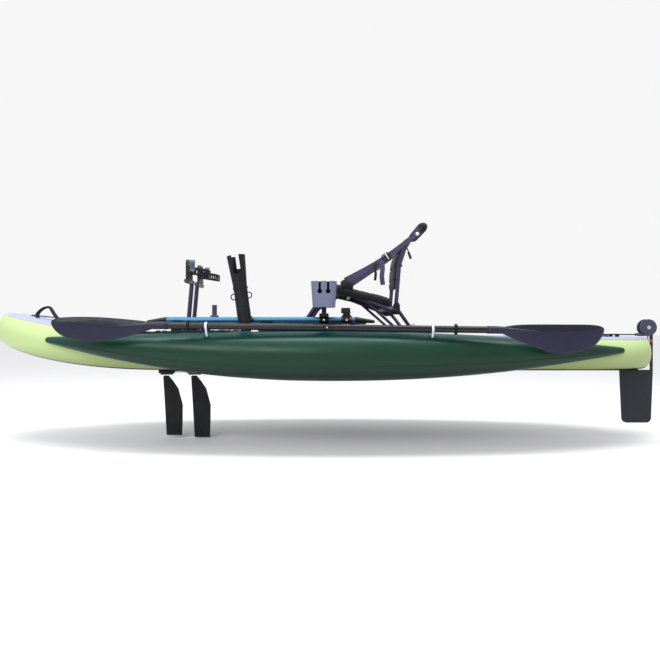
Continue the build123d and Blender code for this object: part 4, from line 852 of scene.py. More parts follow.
# %% Daisy chains and crest beads
LASHING_PITCH, CHAIN_ANGLE, BEAD_ANGLE, CHAIN_STEP = 0.050, radians(97), radians(93), 0.005
for side, hand in SIDES:
    for n, (start, end) in enumerate(((-1.010, -0.445), (-0.315, 0.490))):
        crest, bead_line = [], []
        count = int((end - start) / CHAIN_STEP)
        for k in range(count + 1):
            x = start + (end - start) * k / count
            place = (x, *tube_station(tube_share(x))[1:])
            lift = 0.0012 + 0.0090 * abs(sin(pi * (x - start) / LASHING_PITCH)) ** 0.4
            crest.append(tube_point(hand, place, CHAIN_ANGLE, lift))
            bead_line.append(tube_point(hand, place, BEAD_ANGLE, 0.0036))
        chain = strap(f"{side}_daisy_chain_{n + 1}", crest, (0, 1, 0), 0.018, 0.0014, black_webbing,
                      "hull")
        bead = round_bar(f"{side}_crest_bead_{n + 1}", bead_line, 0.0046, skid_rubber, "hull", 12)
print("daisy chains and beads made")

# %% [markdown]
# ## Deck pads
# The standing pads are closed-cell foam with routed grooves that let water run off and give grip.
# The grooves are really cut, by booleans with two crossed combs of thin bars, and the rim is rounded
# over.

# %% Grooved foam pads
PAD_CORNER, RIM = 0.04, 0.022
GROOVE_PITCH, GROOVE_SLOPE, GROOVE_HALF, GROOVE_DEEP = 0.045, radians(55), 0.0016, 0.0018
BAR_FACES = ((0, 1, 2, 3), (7, 6, 5, 4), (0, 4, 5, 1), (1, 5, 6, 2), (2, 6, 7, 3), (3, 7, 4, 0))


def foam_pad(name, node):
    low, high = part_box(node)
    middle, half = (low + high) / 2, (high - low) / 2
    rings = [[Vector((middle.x + u, middle.y + v, z)) for u,
              v in rounded(half.x, half.y, PAD_CORNER, 7, inset)]
             for z, inset in ((low.z, 0), (high.z - 0.0016, 0), (high.z - 0.0005, 0.0006),
                              (high.z, 0.002))]
    pad = add_piece(name, *skin(rings), deck_foam, "hull", smooth=False)
    reach = (half.y - RIM) / sin(GROOVE_SLOPE)
    combs = []
    for way in (-1, 1):
        points, faces = [], []
        along = Vector((cos(GROOVE_SLOPE), way * sin(GROOVE_SLOPE), 0))
        across = Vector((-along.y, along.x, 0)) * GROOVE_HALF
        for k in range(int(2 * (half.x + half.y) / GROOVE_PITCH) + 2):
            start = -half.x - half.y + k * GROOVE_PITCH
            if abs(start) + reach * cos(GROOVE_SLOPE) > half.x - RIM:
                continue
            base = Vector((middle.x + start, middle.y, high.z - GROOVE_DEEP))
            corners = [base - along * reach - across, base - along * reach + across,
                       base + along * reach + across, base + along * reach - across]
            first = len(points)
            points += [c + UP * dz for dz in (0, 0.01) for c in corners]
            faces += [tuple(first + n for n in f) for f in BAR_FACES]
        combs.append(plain_object("comb", points, faces))
    cut_away(pad, combs)
    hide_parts(node)
    print(name, "has", len(pad.data.polygons), "faces")


foam_pad("cockpit_pad", "cockpit_deck_pad")
foam_pad("stern_pad", "stern_deck_pad")

# %% [markdown]
# ## Deck fittings
# Every bungee turn is held by a loop of webbing on a round welded patch. The loop is a flat strap
# bent over the cord, and the patch is turned, since it is round.

# %% Bungee loops and patches
PATCH = ((0.0001, 0.0030), (0.006, 0.0030), (0.0125, 0.0022), (0.0135, 0.0008), (0.0136, -0.004))
LOOP_WIDE, LOOP_TALL, LOOP_STEPS = 0.0095, 0.0155, 12
for cord in bungees:
    cord.data.materials.append(bungee_cord.material)
for n, turn in enumerate(bow_turns + stern_turns):
    base = turn - UP * (CORD_ABOVE - 0.0005)
    patch = turned(f"cord_patch_{n + 1}", PATCH, base, UP, deck_skin, "hull", 32)
    side = Vector((0, 1 if turn.y > 0 else -1, 0))
    arc = [base + UP * (0.0025 + LOOP_TALL * sin(a)) + side * (LOOP_WIDE * cos(a))
           for a in (pi * k / LOOP_STEPS for k in range(LOOP_STEPS + 1))]
    loop = strap(f"cord_loop_{n + 1}", arc, (1, 0, 0), 0.010, 0.0014, black_webbing, "hull")
    for piece in (patch, loop):
        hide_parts("bungee_anchors")
print(n + 1, "loops and patches")

# %% [markdown]
# The carrying handle is one strip of stiff webbing, sewn down at both feet, with its middle folded
# narrower so that a hand closes round it. The stitches are modelled, because they are what shows
# that it is sewn and not moulded.

# %% Carrying handle
HANDLE_X, HANDLE_REACH, HANDLE_RISE = BOW + 0.240, 0.058, 0.064
HANDLE_PATCH = ((0.0001, 0.0014), (0.026, 0.0014), (0.0285, 0.0008), (0.029, -0.003))
front_x, rear_x = HANDLE_X - HANDLE_REACH, HANDLE_X + HANDLE_REACH
front_z, rear_z, top_z = deck_height(front_x), deck_height(rear_x), deck_height(HANDLE_X) + HANDLE_RISE
line = smooth_path(((front_x - 0.022, 0, deck_height(front_x - 0.022) + 0.003),
                    (front_x - 0.004, 0, front_z + 0.004),
                    (front_x + 0.012, 0, front_z + 0.026), (HANDLE_X - 0.026, 0, top_z - 0.010),
                    (HANDLE_X - 0.006, 0, top_z - 0.0025), (HANDLE_X + 0.012, 0, top_z - 0.004),
                    (rear_x - 0.022, 0, rear_z + 0.034), (rear_x + 0.002, 0, rear_z + 0.006),
                    (rear_x + 0.022, 0, deck_height(rear_x + 0.022) + 0.003)), 7)
widths = [0.031 - 0.006 * min(max((p.z - front_z - 0.006) / 0.05, 0), 1) for p in line]
handle = strap("carry_handle", line, (0, 1, 0), 0.03, 0.0100, black_webbing, "hull", widths=widths)
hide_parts("bow_handle")
for label, x in (("front", front_x - 0.012), ("rear", rear_x + 0.012)):
    slope = atan2(deck_height(x + 0.01) - deck_height(x - 0.01), 0.02)
    patch = turned(f"handle_{label}_patch", HANDLE_PATCH, (x, 0, deck_height(x)),
                   (-sin(slope), 0, cos(slope)),
                   deck_skin, "hull")
    # Two rows of lock stitching cross each foot.
    for row, letter in ((-0.006, "a"), (0.006, "b")):
        top = deck_height(x + row) + 0.0052
        for k in range(7):
            y = -0.0105 + 0.0035 * k
            stitch = [(x + row, y + dy, top - dz) for dy,
                      dz in ((-0.0012, 0.0004), (0, 0), (0.0012, 0.0004))]
            round_bar(f"handle_{label}_stitch_{letter}{k + 1}", stitch, 0.0005, piping, "hull", 6)
print("handle made of", len(line), "places")

# %% [markdown]
# Each inflation valve has a turned collar and a cap with a toothed rim to grip. The teeth are part
# of the cap's own outline, which is simpler than cutting them.

# %% Inflation valves
COLLAR = ((0.0001, 0.001), (0.0195, 0.001), (0.0200, 0.0034), (0.0215, 0.0042), (0.0232, 0.0034),
          (0.0240, 0.0015), (0.0240, -0.002))
CAP = ((0.97, 0.001), (1.0, 0.0025), (1.0, 0.0068), (0.95, 0.0080), (0.60, 0.0084), (0.56, 0.0074),
       (0.02, 0.0074))
TOOTH_STEPS, TOOTH_TOP, TOOTH_ROOT = 96, 0.0182, 0.0172
tube_x, tube_spread, tube_middle, tube_r = tube_station(0.86)
tube_crest = tube_middle + tube_r - 0.001
rim = [(c, s, TOOTH_TOP if k % 4 < 2 else TOOTH_ROOT) for k, (c, s) in enumerate(circle(TOOTH_STEPS))]
for label, at in (("board", (STERN - 0.215, 0, DECK)), ("port_tube", (tube_x, -tube_spread, tube_crest)),
                  ("starboard_tube", (tube_x, tube_spread, tube_crest))):
    collar = turned(f"{label}_valve_collar", COLLAR, at, UP, gloss_black, "hull", 48)
    rings = [[Vector(at) + Vector((share * r * c, share * r * s, h)) for c, s, r in rim] for share,
             h in CAP]
    cap = add_piece(f"{label}_valve_cap", *skin(rings), black_plastic, "hull")
    for piece in (collar, cap):
        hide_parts("inflation_valves")
print("three valves made")

# %% [markdown]
# ## The seat
# A seat like this is a cloth sling and a mesh back on bent tubes. The pad and the back are sewn from
# two layers with foam between, so they swell between their seams and pull in at the corners. A
# slightly small cushion blown up with cloth physics gets that. The sewn channels come after, because
# the even remesh before the cloth would wipe out anything that fine.

# %% Swelling a cushion
CLOTH_FRAMES, CLOTH_STIFF, CLOTH_BEND, CLOTH_MASS, VOXEL = 20, 22, 0.6, 0.3, 0.006
FALL_OFF = 2.718


def smooth_faces(piece):
    for face in piece.data.polygons:
        face.use_smooth = True


def swell(piece, cap, voxel=VOXEL, pressure=4.0):
    """Blows a closed pad up with cloth physics, each point by no more than cap, and keeps the result."""
    sewn = len(piece.data.vertices)
    remesh = piece.modifiers.new("even mesh", "REMESH")
    remesh.mode, remesh.voxel_size, remesh.use_smooth_shade = "VOXEL", voxel, True
    settle(piece)
    start = [v.co.copy() for v in piece.data.vertices]
    scene = bpy.context.scene
    cloth = piece.modifiers.new("air", "CLOTH")
    cloth.settings.quality = 5
    cloth.settings.mass = CLOTH_MASS
    cloth.settings.tension_stiffness = CLOTH_STIFF
    cloth.settings.compression_stiffness = CLOTH_STIFF
    cloth.settings.bending_stiffness = CLOTH_BEND
    cloth.settings.use_pressure = True
    cloth.settings.uniform_pressure_force = pressure
    cloth.settings.effector_weights.gravity = 0
    cloth.collision_settings.use_collision = False
    cloth.point_cache.frame_start, cloth.point_cache.frame_end = 1, CLOTH_FRAMES
    for number in range(1, CLOTH_FRAMES + 1):
        scene.frame_set(number)
    ready = piece.evaluated_get(bpy.context.evaluated_depsgraph_get())
    moved = [v.co.copy() for v in ready.data.vertices]
    piece.modifiers.clear()
    scene.frame_set(1)
    for vertex, old, new in zip(piece.data.vertices, start, moved):
        step = new - old
        if step.length > cap:
            step *= cap / step.length
        vertex.co = old + step
    smooth_faces(piece)
    relax = piece.modifiers.new("relax", "SMOOTH")
    relax.factor, relax.iterations = 0.5, 4
    fine = piece.modifiers.new("fine", "SUBSURF")
    fine.levels = fine.render_levels = 1
    settle(piece)
    smooth_faces(piece)
    print(piece.name, "from", sewn, "to", len(piece.data.vertices), "points")


def press_channels(piece, near, depth, width):
    """Sinks sewn channels into a pad: near(p) is a point's distance from the nearest seam."""
    mesh = piece.data
    for vertex in mesh.vertices:
        away = near(vertex.co)
        if away < width * 3:
            vertex.co -= vertex.normal * (depth * FALL_OFF ** (-(away / width) ** 2))
    mesh.update()


def signed_power(value, power):
    """Squares a round section off: a lower power gives a boxier one."""
    return abs(value) ** power * (1 if value > 0 else -1)


print("cushion tools ready")

# %% [markdown]
# The seat pad is built from fore-and-aft slices that follow the slope of the side tubes and sag a
# little in the middle. It is boxy in front and thin at its side edges.

# %% Seat pad
pad_low, pad_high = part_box("seat_pad")
RAIL_FRONT, RAIL_REAR = Vector((0.070, 0, 0.396)), Vector((0.340, 0, 0.288))
pad_half = pad_high.y - 0.004
pad_front_x, pad_rear_x = pad_low.x + 0.004, pad_high.x - 0.004
PAD_OVER, PAD_THICK, PAD_SAG, SEAM = 0.012, 0.022, 0.006, 0.004
SEAT_SEAMS_X, SEAT_SEAM_Y = (0.105, 0.165, 0.225), 0.085
PAD_SLICES, SLICE_SIDES = 33, 40


def seat_rail_z(x):
    share = (x - RAIL_FRONT.x) / (RAIL_REAR.x - RAIL_FRONT.x)
    return RAIL_FRONT.z + (RAIL_REAR.z - RAIL_FRONT.z) * share


def pad_slice(y, fat):
    """One fore-and-aft slice of the pad, thinner and shorter near its side edges."""
    ring = []
    half_length = (pad_rear_x - pad_front_x) / 2 - SEAM
    sag = PAD_SAG * (1 - (y / pad_half) ** 2)
    for c, s in circle(SLICE_SIDES):
        x = (pad_front_x + pad_rear_x) / 2 + signed_power(c, 0.35) * half_length * (1 - 0.06 * (1 - fat))
        middle = seat_rail_z(x) + PAD_OVER + PAD_THICK / 2 - sag
        ring.append(Vector((x, y, middle + signed_power(s, 0.6) * (PAD_THICK / 2 - SEAM) * fat)))
    return ring


def seat_seam_distance(p):
    across = min(abs(p.x - x) for x in SEAT_SEAMS_X) + (0 if abs(p.y) < SEAT_SEAM_Y else 1)
    return min(abs(abs(p.y) - SEAT_SEAM_Y), across)


rings = []
for k in range(PAD_SLICES):
    y = -pad_half + 2 * pad_half * k / (PAD_SLICES - 1)
    rings.append(pad_slice(y, max(1 - abs(y / pad_half) ** 8, 0) ** 0.5 * 0.75 + 0.25))
seat_pad = add_piece("seat_cushion", *skin(rings), seat_cloth, "hull")
swell(seat_pad, 0.006)
press_channels(seat_pad, seat_seam_distance, 0.0045, 0.004)
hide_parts("seat_pad")

# %% [markdown]
# The back is mesh over foam, laced between two tubes. Three soft channels cross it.

# %% Back cushion
BACK_LINE = ((0.345, 0, 0.400), (0.3475, 0, 0.46), (0.352, 0, 0.523), (0.362, 0, 0.57), (0.377, 0, 0.62),
             (0.407, 0, 0.652), (0.440, 0, 0.674))
BACK_CHANNELS, BACK_SIDES = (0.450, 0.515, 0.580), 44
back_path = smooth_path(BACK_LINE, 5)
back_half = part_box("seat_back_pad")[1].y - 0.003
rings = []
for n, (p, side, up) in enumerate(frames_along(back_path, (0, 1, 0))):
    share = n / (len(back_path) - 1)
    edge = min(share, 1 - share) * 2
    fat = (0.35 + 0.65 * min(edge * 6, 1)) * (0.0095 if share > 0.75 else 0.0105)
    half = back_half * (0.94 + 0.06 * min(edge * 5, 1))
    rings.append([p + side * (signed_power(c, 0.35) * half) + up * (signed_power(s, 0.75) * fat)
                  - up * 0.001 for c, s in circle(BACK_SIDES)])
back_pad = add_piece("back_cushion", *skin(rings), seat_mesh, "seat_back")
swell(back_pad, 0.006)
press_channels(back_pad, lambda p: min(abs(p.z - z) for z in BACK_CHANNELS), 0.0042, 0.004)
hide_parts("seat_back_pad")

# %% [markdown]
# A thick roll of wrapped cloth caps the back. Its wraps lie at a slant, so the sewn channels do too.

# %% Wrapped top roll
ROLL_PLACES, ROLL_SIDES, WRAP_SLANT = 57, 36, 0.10
ROLL_WRAPS = [-0.165 + 0.055 * k for k in range(7)]
roll_low, roll_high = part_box("seat_top_roll")
roll_middle = (roll_low + roll_high) / 2
roll_half, roll_radius = (roll_high.y - roll_low.y) / 2 - 0.002, (roll_high.z - roll_low.z) / 2 - 0.0045


def wrap_distance(p):
    return min(abs(p.y - y - WRAP_SLANT * (p.x - roll_middle.x)) for y in ROLL_WRAPS)


rings = []
for k in range(ROLL_PLACES):
    y = -roll_half + 2 * roll_half * k / (ROLL_PLACES - 1)
    end = max(1 - abs(y / roll_half) ** 12, 0) ** 0.5
    ring = []
    for j, (c, s) in enumerate(circle(ROLL_SIDES)):
        r = roll_radius * (0.30 + 0.70 * end) * (1 + 0.035 * cos(6 * pi * j / ROLL_SIDES + 9 * y))
        ring.append(roll_middle + Vector((r * c, y, r * s)))
    rings.append(ring)
top_roll = add_piece("top_roll", *skin(rings), seat_cloth, "seat_back")
swell(top_roll, 0.005, pressure=4.5)
press_channels(top_roll, wrap_distance, 0.0030, 0.0035)
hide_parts("seat_top_roll")

# %% [markdown]
# Side straps hold the back up. Each one starts in a black sleeve round the seat tube, passes a
# ladder buckle, and snaps to the top of the back frame, and two spare tails hang from the buckle.
# Each strap piece is made on the hull and then taken off it, so it rides on no body.

# %% Side straps and buckles
STRAP_FOOT, STRAP_HEAD, STRAP_Y, STRAP_STEPS = Vector((0.093, 0, 0.436)), Vector((0.450, 0,
                                                                                  0.678)), 0.204, 24
BUCKLE_SHARE, SEAT_TUBE_Y, SLEEVE_X, SLEEVE_LONG = 0.53, 0.190, 0.066, 0.062
TAILS = ((-0.050, 0.085, -0.004, 0.013, black_webbing), (-0.024, 0.118, 0.006, 0.023, webbing))
strap_line = (STRAP_HEAD - STRAP_FOOT).normalized()
strap_across = Vector((-strap_line.z, 0, strap_line.x))


def bent(piece):
    """Takes a strap piece off its body and bakes its place into its mesh."""
    piece.parent = None
    piece.pop("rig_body", None)
    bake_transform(piece)
    return piece


for side, hand in SIDES:
    y = hand * STRAP_Y
    waves = [sin(pi * k / STRAP_STEPS) for k in range(STRAP_STEPS + 1)]
    sling = [STRAP_FOOT.lerp(STRAP_HEAD, k / STRAP_STEPS) + Vector((0, y + hand * 0.002 * wave, 0))
             - strap_across * (0.010 * wave) for k, wave in enumerate(waves)]
    wide = [0.024 + 0.018 * max(1 - k / 11, 0) ** 1.2 for k in range(STRAP_STEPS + 1)]
    sling_piece = bent(strap(f"{side}_seat_strap", sling, strap_across, 0.024, 0.0022, webbing, "hull",
                             widths=wide))
    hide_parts("seat_side_straps")
    for edge, label in ((-1, "lower"), (1, "upper")):
        rib = [p + strap_across * (w / 2 - 0.0015) * edge + Vector((0, hand * 0.0010, 0)) for p,
               w in zip(sling, wide)]
        bent(strap(f"{side}_seat_strap_{label}_edge", rib, strap_across, 0.0022, 0.0016, piping, "hull"))
    # The sleeve round the seat tube.
    rings = []
    for k in range(13):
        swelling = sin(pi * k / 12)
        middle = Vector((SLEEVE_X + SLEEVE_LONG * k / 12, hand * SEAT_TUBE_Y, 0.409 + 0.010 * swelling))
        flare = 1 + 0.10 * swelling - (0.10 if k in (0, 12) else 0)
        rings.append([middle + Vector((0, 0.0185 * flare * c, (0.0285 if s > 0 else 0.0275) * flare * s))
                      for c, s in circle(28)])
    sleeve = add_piece(f"{side}_seat_strap_sleeve", *skin(rings), seat_cloth, "hull")
    # The ladder buckle, a rounded frame with two bars.
    at = STRAP_FOOT.lerp(STRAP_HEAD, BUCKLE_SHARE) + Vector((0, y + hand * 0.004,
                                                             0)) - strap_across * 0.010
    frame_line = [at + strap_line * u + strap_across * v for u, v in rounded(0.017, 0.0165, 0.004, 5)]
    bent(round_bar(f"{side}_buckle_frame", frame_line, 0.0024, gloss_black, "hull", 10, closed=True))
    for n, (u, finish) in enumerate(((-0.005, gloss_black), (0.005, white_plastic))):
        bar_line = [at + strap_line * u + strap_across * v for v in (-0.0165, 0, 0.0165)]
        bent(round_bar(f"{side}_buckle_bar_{n + 1}", bar_line, 0.0026, finish, "hull", 10))
    # Two tails hang on the port side, and the others are tucked away.
    for n, (ahead, drop, lean, tail_wide, finish) in enumerate(TAILS if hand < 0 else ()):
        top = at + Vector((ahead, hand * 0.003, -0.008 + 0.45 * ahead))
        sway = ((0, 0, 0), (1, 0.004, 0.3), (0.4, 0.006, 0.65), (1.3, 0.003, 1))
        tail = smooth_path([top + Vector((lean * u, hand * v, -drop * w)) for u, v, w in sway], 7)
        bent(strap(f"{side}_strap_tail_{n + 1}", tail, (1, 0, 0.1), tail_wide, 0.0016, finish, "hull"))
print("side straps, buckles and tails made")

# %% [markdown]
# At the top each strap ends in a round snap on a tab round the back tube, and a thin pull tail hangs
# below it. Behind the seat a tie-down loop stands on the board beside each tube.

# %% Snaps, pull tails and tie-down loops
SNAP = ((0.0001, 0.0060), (0.0045, 0.0056), (0.0078, 0.0040), (0.0088, 0.0015), (0.0088, -0.001))
PULL = ((0.392, 0.166, 0.612), (0.398, 0.172, 0.596), (0.404, 0.175, 0.575), (0.413, 0.176, 0.550))
TIE_X, TIE_Y, TIE_HALF, TIE_TALL, TIE_STEPS, PULL_THIN_ABOVE = 0.414, 0.236, 0.016, 0.062, 14, 0.585
for side, hand in SIDES:
    y = hand * STRAP_Y
    snap = turned(f"{side}_seat_snap", SNAP, (0.440, y, 0.668), (0, hand, 0), white_plastic, "seat_back",
                  32)
    tab_line = smooth_path([(0.440, y, 0.668), (0.452, hand * 0.200, 0.686),
                            (0.466, hand * 0.190, 0.702)], 6)
    tab = strap(f"{side}_seat_snap_tab", tab_line, strap_across, 0.016, 0.002, black_webbing,
                "seat_back")
    pull_line = smooth_path([(x, hand * y, z) for x, y, z in PULL], 8)
    pull = strap(f"{side}_back_pull_tail", pull_line, (1, 0, 0), 0.010, 0.0020, black_webbing,
                 "seat_back",
                 widths=[0.006 if p.z > PULL_THIN_ABOVE else 0.0125 for p in pull_line])
    foot_z, bends = deck_height(TIE_X) + 0.002, [pi * k / TIE_STEPS for k in range(TIE_STEPS + 1)]
    arc = [(TIE_X - TIE_HALF * cos(a), hand * TIE_Y, foot_z + TIE_TALL * sin(a)) for a in bends]
    tie = strap(f"{side}_tie_down_loop", arc, (0, 1, 0), 0.014, 0.0016, black_webbing, "hull")
print("snaps, pull tails and tie-down loops made")

# %% [markdown]
# A padded bolster lies over each side tube of the seat, so that no bare metal meets a leg. It is
# blown up like the cushions, and a line of piping runs along its outer side.

# %% Side bolsters
BOLSTER_Y, BOLSTER_CHANNELS, BOLSTER_PLACES = 0.1845, (0.05, 0.13, 0.21, 0.28), 37


def bolster_height(x):
    return 0.404 - 0.250 * max(x - 0.030, 0)


def bolster_channel_distance(p):
    return min(abs(p.x - x) for x in BOLSTER_CHANNELS)


for side, hand in SIDES:
    rings = []
    for k in range(BOLSTER_PLACES):
        share = k / (BOLSTER_PLACES - 1)
        x = -0.020 + 0.338 * share
        plump = (max(1 - (2 * share - 1) ** 8, 0)) ** 0.5
        tall, half = 0.008 + (0.021 - 0.003 * share) * plump, 0.006 + 0.0145 * plump
        rings.append([Vector((x, hand * (BOLSTER_Y + half * c), bolster_height(x) + tall * s)) for c,
                      s in circle(30)])
    bolster = add_piece(f"{side}_seat_bolster", *skin(rings), seat_cloth, "hull")
    swell(bolster, 0.005, voxel=0.0050)
    press_channels(bolster, bolster_channel_distance, 0.0018, 0.003)
    piping_x = [-0.010 + 0.320 * k / 30 for k in range(31)]
    piping_line = [(x, hand * (BOLSTER_Y + 0.0205), bolster_height(x) + 0.010) for x in piping_x]
    edge = round_bar(f"{side}_bolster_piping", piping_line, 0.0018, piping, "hull", 10)
print("bolsters made")

# %% [markdown]
# The tubes of the seat have small things on them that a hand finds at once: mesh wings that lace the
# back cushion to its frame, rubber sleeves on the tubes, and screws in the feet.

# %% Seat frame details
FOOT_SCREW = ((0.0001, 0.0022), (0.0030, 0.0018), (0.0042, 0.0004), (0.0042, -0.002))
LEG_LOW, LEG_TOP = Vector((-0.145, 0.152, 0.182)), Vector((-0.050, 0.186, 0.320))
SLEEVE_SPANS = ((LEG_LOW.lerp(LEG_TOP, 0.28), LEG_LOW.lerp(LEG_TOP, 0.50)),
                tuple(Vector((x, 0.186, seat_rail_z(x))) for x in (0.318, 0.338)))
lace = smooth_path([(0.349, 0, 0.425), (0.352, 0, 0.523), (0.377, 0, 0.620), (0.433, 0, 0.668)], 8)
for side, hand in SIDES:
    wing = []
    for n, p in enumerate(lace):
        share = n / (len(lace) - 1)
        inner, outer = back_half - 0.006, 0.130 + 0.036 * max(share - 0.45, 0) / 0.55
        middle, reach = (inner + outer) / 2, Vector((0.006 + 0.012 * share, 0, 0))
        wing.append([p + Vector((dx, hand * across, 0)) + reach * (1 if dx > 0 else 0.8) for across,
                     dx in
                     ((inner, -0.0012), (middle, -0.0022), (outer, -0.0012),
                      (outer, 0.0012), (middle, 0.0002), (inner, 0.0012))])
    mesh_wing = add_piece(f"{side}_back_mesh_wing", *skin(wing), seat_mesh, "seat_back")
    for n, (low_end, high_end) in enumerate(SLEEVE_SPANS):
        start, end = (Vector((p.x, hand * p.y, p.z)) for p in (low_end, high_end))
        length = (end - start).length
        profile = ((0.0134, -0.0002), (0.0156, 0.001), (0.0160, length * 0.5), (0.0156, length - 0.001),
                   (0.0134, length + 0.0002))
        ring = turned(f"{side}_seat_tube_sleeve_{n + 1}", profile, start, end - start, soft_rubber,
                      "hull", 32)
    for n, x in enumerate((-0.161, -0.129, 0.421, 0.453)):
        screw = turned(f"{side}_foot_screw_{n + 1}", FOOT_SCREW, (x, hand * 0.152, 0.1823), UP, steel,
                       "hull", 20)
print("seat details made")

# %% [markdown]
# ## Rail fittings
# The rod holder, cup holder, steering lever and post clamp to the rails. Small parts finish them:
# lashing eyes and ribs moulded on the rod holder's wall, the cup's dark liner, a screw in every
# clamp, and a red release tab by the steering lever.

# %% Rod holder, cup holder and levers
ROD_FOOT, ROD_AXIS = Vector((-0.3747, -0.360, 0.2153)), Vector((-0.1357, 0, 0.9907)).normalized()
ROD_RIB = ((0.0312, -0.0018), (0.0331, -0.0006), (0.0331, 0.0006), (0.0312, 0.0018))
LINER = ((0.0001, 0.0020), (0.0395, 0.0020), (0.0425, 0.0060), (0.0455, 0.0950), (0.0475, 0.0990),
         (0.0475, 0.1005), (0.0440, 0.1005), (0.0410, 0.0070), (0.0380, 0.0035), (0.0001, 0.0035))
CLAMP_SCREW = ((0.0001, 0.0012), (0.0022, 0.0012), (0.0024, 0.0030), (0.0046, 0.0028), (0.0056, 0.0010),
               (0.0056, -0.002))
rod_ahead = Vector((ROD_AXIS.z, 0, -ROD_AXIS.x))
for n, way in enumerate((-1, 1)):
    eye_at = ROD_FOOT + ROD_AXIS * 0.1425 + rod_ahead * (way * 0.0305)
    eye_line = [eye_at + rod_ahead * (way * 0.0175 * sin(a) ** 0.7) + ROD_AXIS * (0.0135 * cos(a))
                for a in (pi * k / 12 for k in range(13))]
    eye = round_bar(f"rod_holder_eye_{n + 1}", eye_line, 0.0026, black_plastic, "rod_holder_tube", 12)
for n, height in enumerate((0.060, 0.070, 0.080, 0.168)):
    rib = turned(f"rod_holder_rib_{n + 1}", ROD_RIB, ROD_FOOT + ROD_AXIS * height, ROD_AXIS,
                 black_plastic,
                 "rod_holder_tube", 48)
cup_low, cup_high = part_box("cup_holder")
cup_x, cup_y = (cup_low.x + cup_high.x) / 2, (cup_low.y + cup_high.y) / 2
liner = turned("cup_liner", LINER, (cup_x, cup_y, cup_low.z + 0.016), UP, soft_rubber, "cup_holder_cup",
               48)
for name, at, size, finish, body, edge in (
        ("cup_rim_bar", (cup_x, cup_y + 0.050, cup_high.z + 0.001), (0.066, 0.011, 0.009), black_plastic,
         "cup_holder_cup", 0.002),
        ("post_collar", (-0.648, 0.305, 0.268), (0.046, 0.036, 0.034), head_plastic, "hull", 0.004),
        ("steering_release_tab", (0.110, -0.3225, 0.2515), (0.010, 0.006, 0.009), red_plastic, "hull",
         0.0012)):
    piece = block(name, at, size, finish, body, edge=edge)
for label, node, x, way in (("rod_clamp", "rod_holder_clamp", -0.379, -1),
                            ("cup_mount", "cup_holder_mount", -0.014, -1),
                            ("steering_base", "steering_base", 0.092, -1),
                            ("post", "accessory_post", -0.648, 1)):
    low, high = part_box(node)
    head = turned(f"{label}_screw", CLAMP_SCREW, (x, low.y if way < 0 else high.y, 0.247), (0, way, 0),
                  steel, "hull", 24)
print("cup rim at", round(cup_high.z, 3), "with the rod eyes, collar, tab and screws")

# %% [markdown]
# ## Pedals, fins and rudder
# A foot goes under a loop of rubber cut with slots, which a ratchet block on the outer side pulls
# tight. The loop is two rails with bridges between them, so its slots are real openings. The
# pedal's tread has ribs against slipping.

# %% Foot straps
STRAP_WALL, TOE_CORNER, TOE_STEPS, LOOP_PARTS, TOE_SLOPE, RAIL_RISE = 0.003, 0.026, 8, 96, -0.16, 0.0135
TREAD_X, TREAD_PITCH, RIB_FROM_TOP = -0.6832, 0.0125, 0.016


def toe_loop(low, high):
    """The loop seen from above, out from the plate, round the toe and back, in even steps."""
    half, reach = (high.y - low.y) / 2 - STRAP_WALL / 2, high.x - low.x - TOE_CORNER
    turns = [radians(90 * step / (TOE_STEPS - 1)) for step in range(TOE_STEPS)]
    loop = [Vector((low.x, -half, 0))]
    loop += [Vector((low.x + reach + TOE_CORNER * sin(a), TOE_CORNER - half - TOE_CORNER * cos(a), 0))
             for a in turns]
    loop += [Vector((low.x + reach + TOE_CORNER * cos(a), half - TOE_CORNER + TOE_CORNER * sin(a), 0))
             for a in turns]
    loop.append(Vector((low.x, half, 0)))
    total = sum((b - a).length for a, b in zip(loop, loop[1:]))
    run, index, where = 0, 0, []
    for k in range(LOOP_PARTS + 1):
        mark = total * k / LOOP_PARTS
        while index < len(loop) - 2 and run + (loop[index + 1] - loop[index]).length < mark - 1e-9:
            run += (loop[index + 1] - loop[index]).length
            index += 1
        span = (loop[index + 1] - loop[index]).length
        where.append(loop[index].lerp(loop[index + 1], min((mark - run) / span, 1)))
    return where, half, total


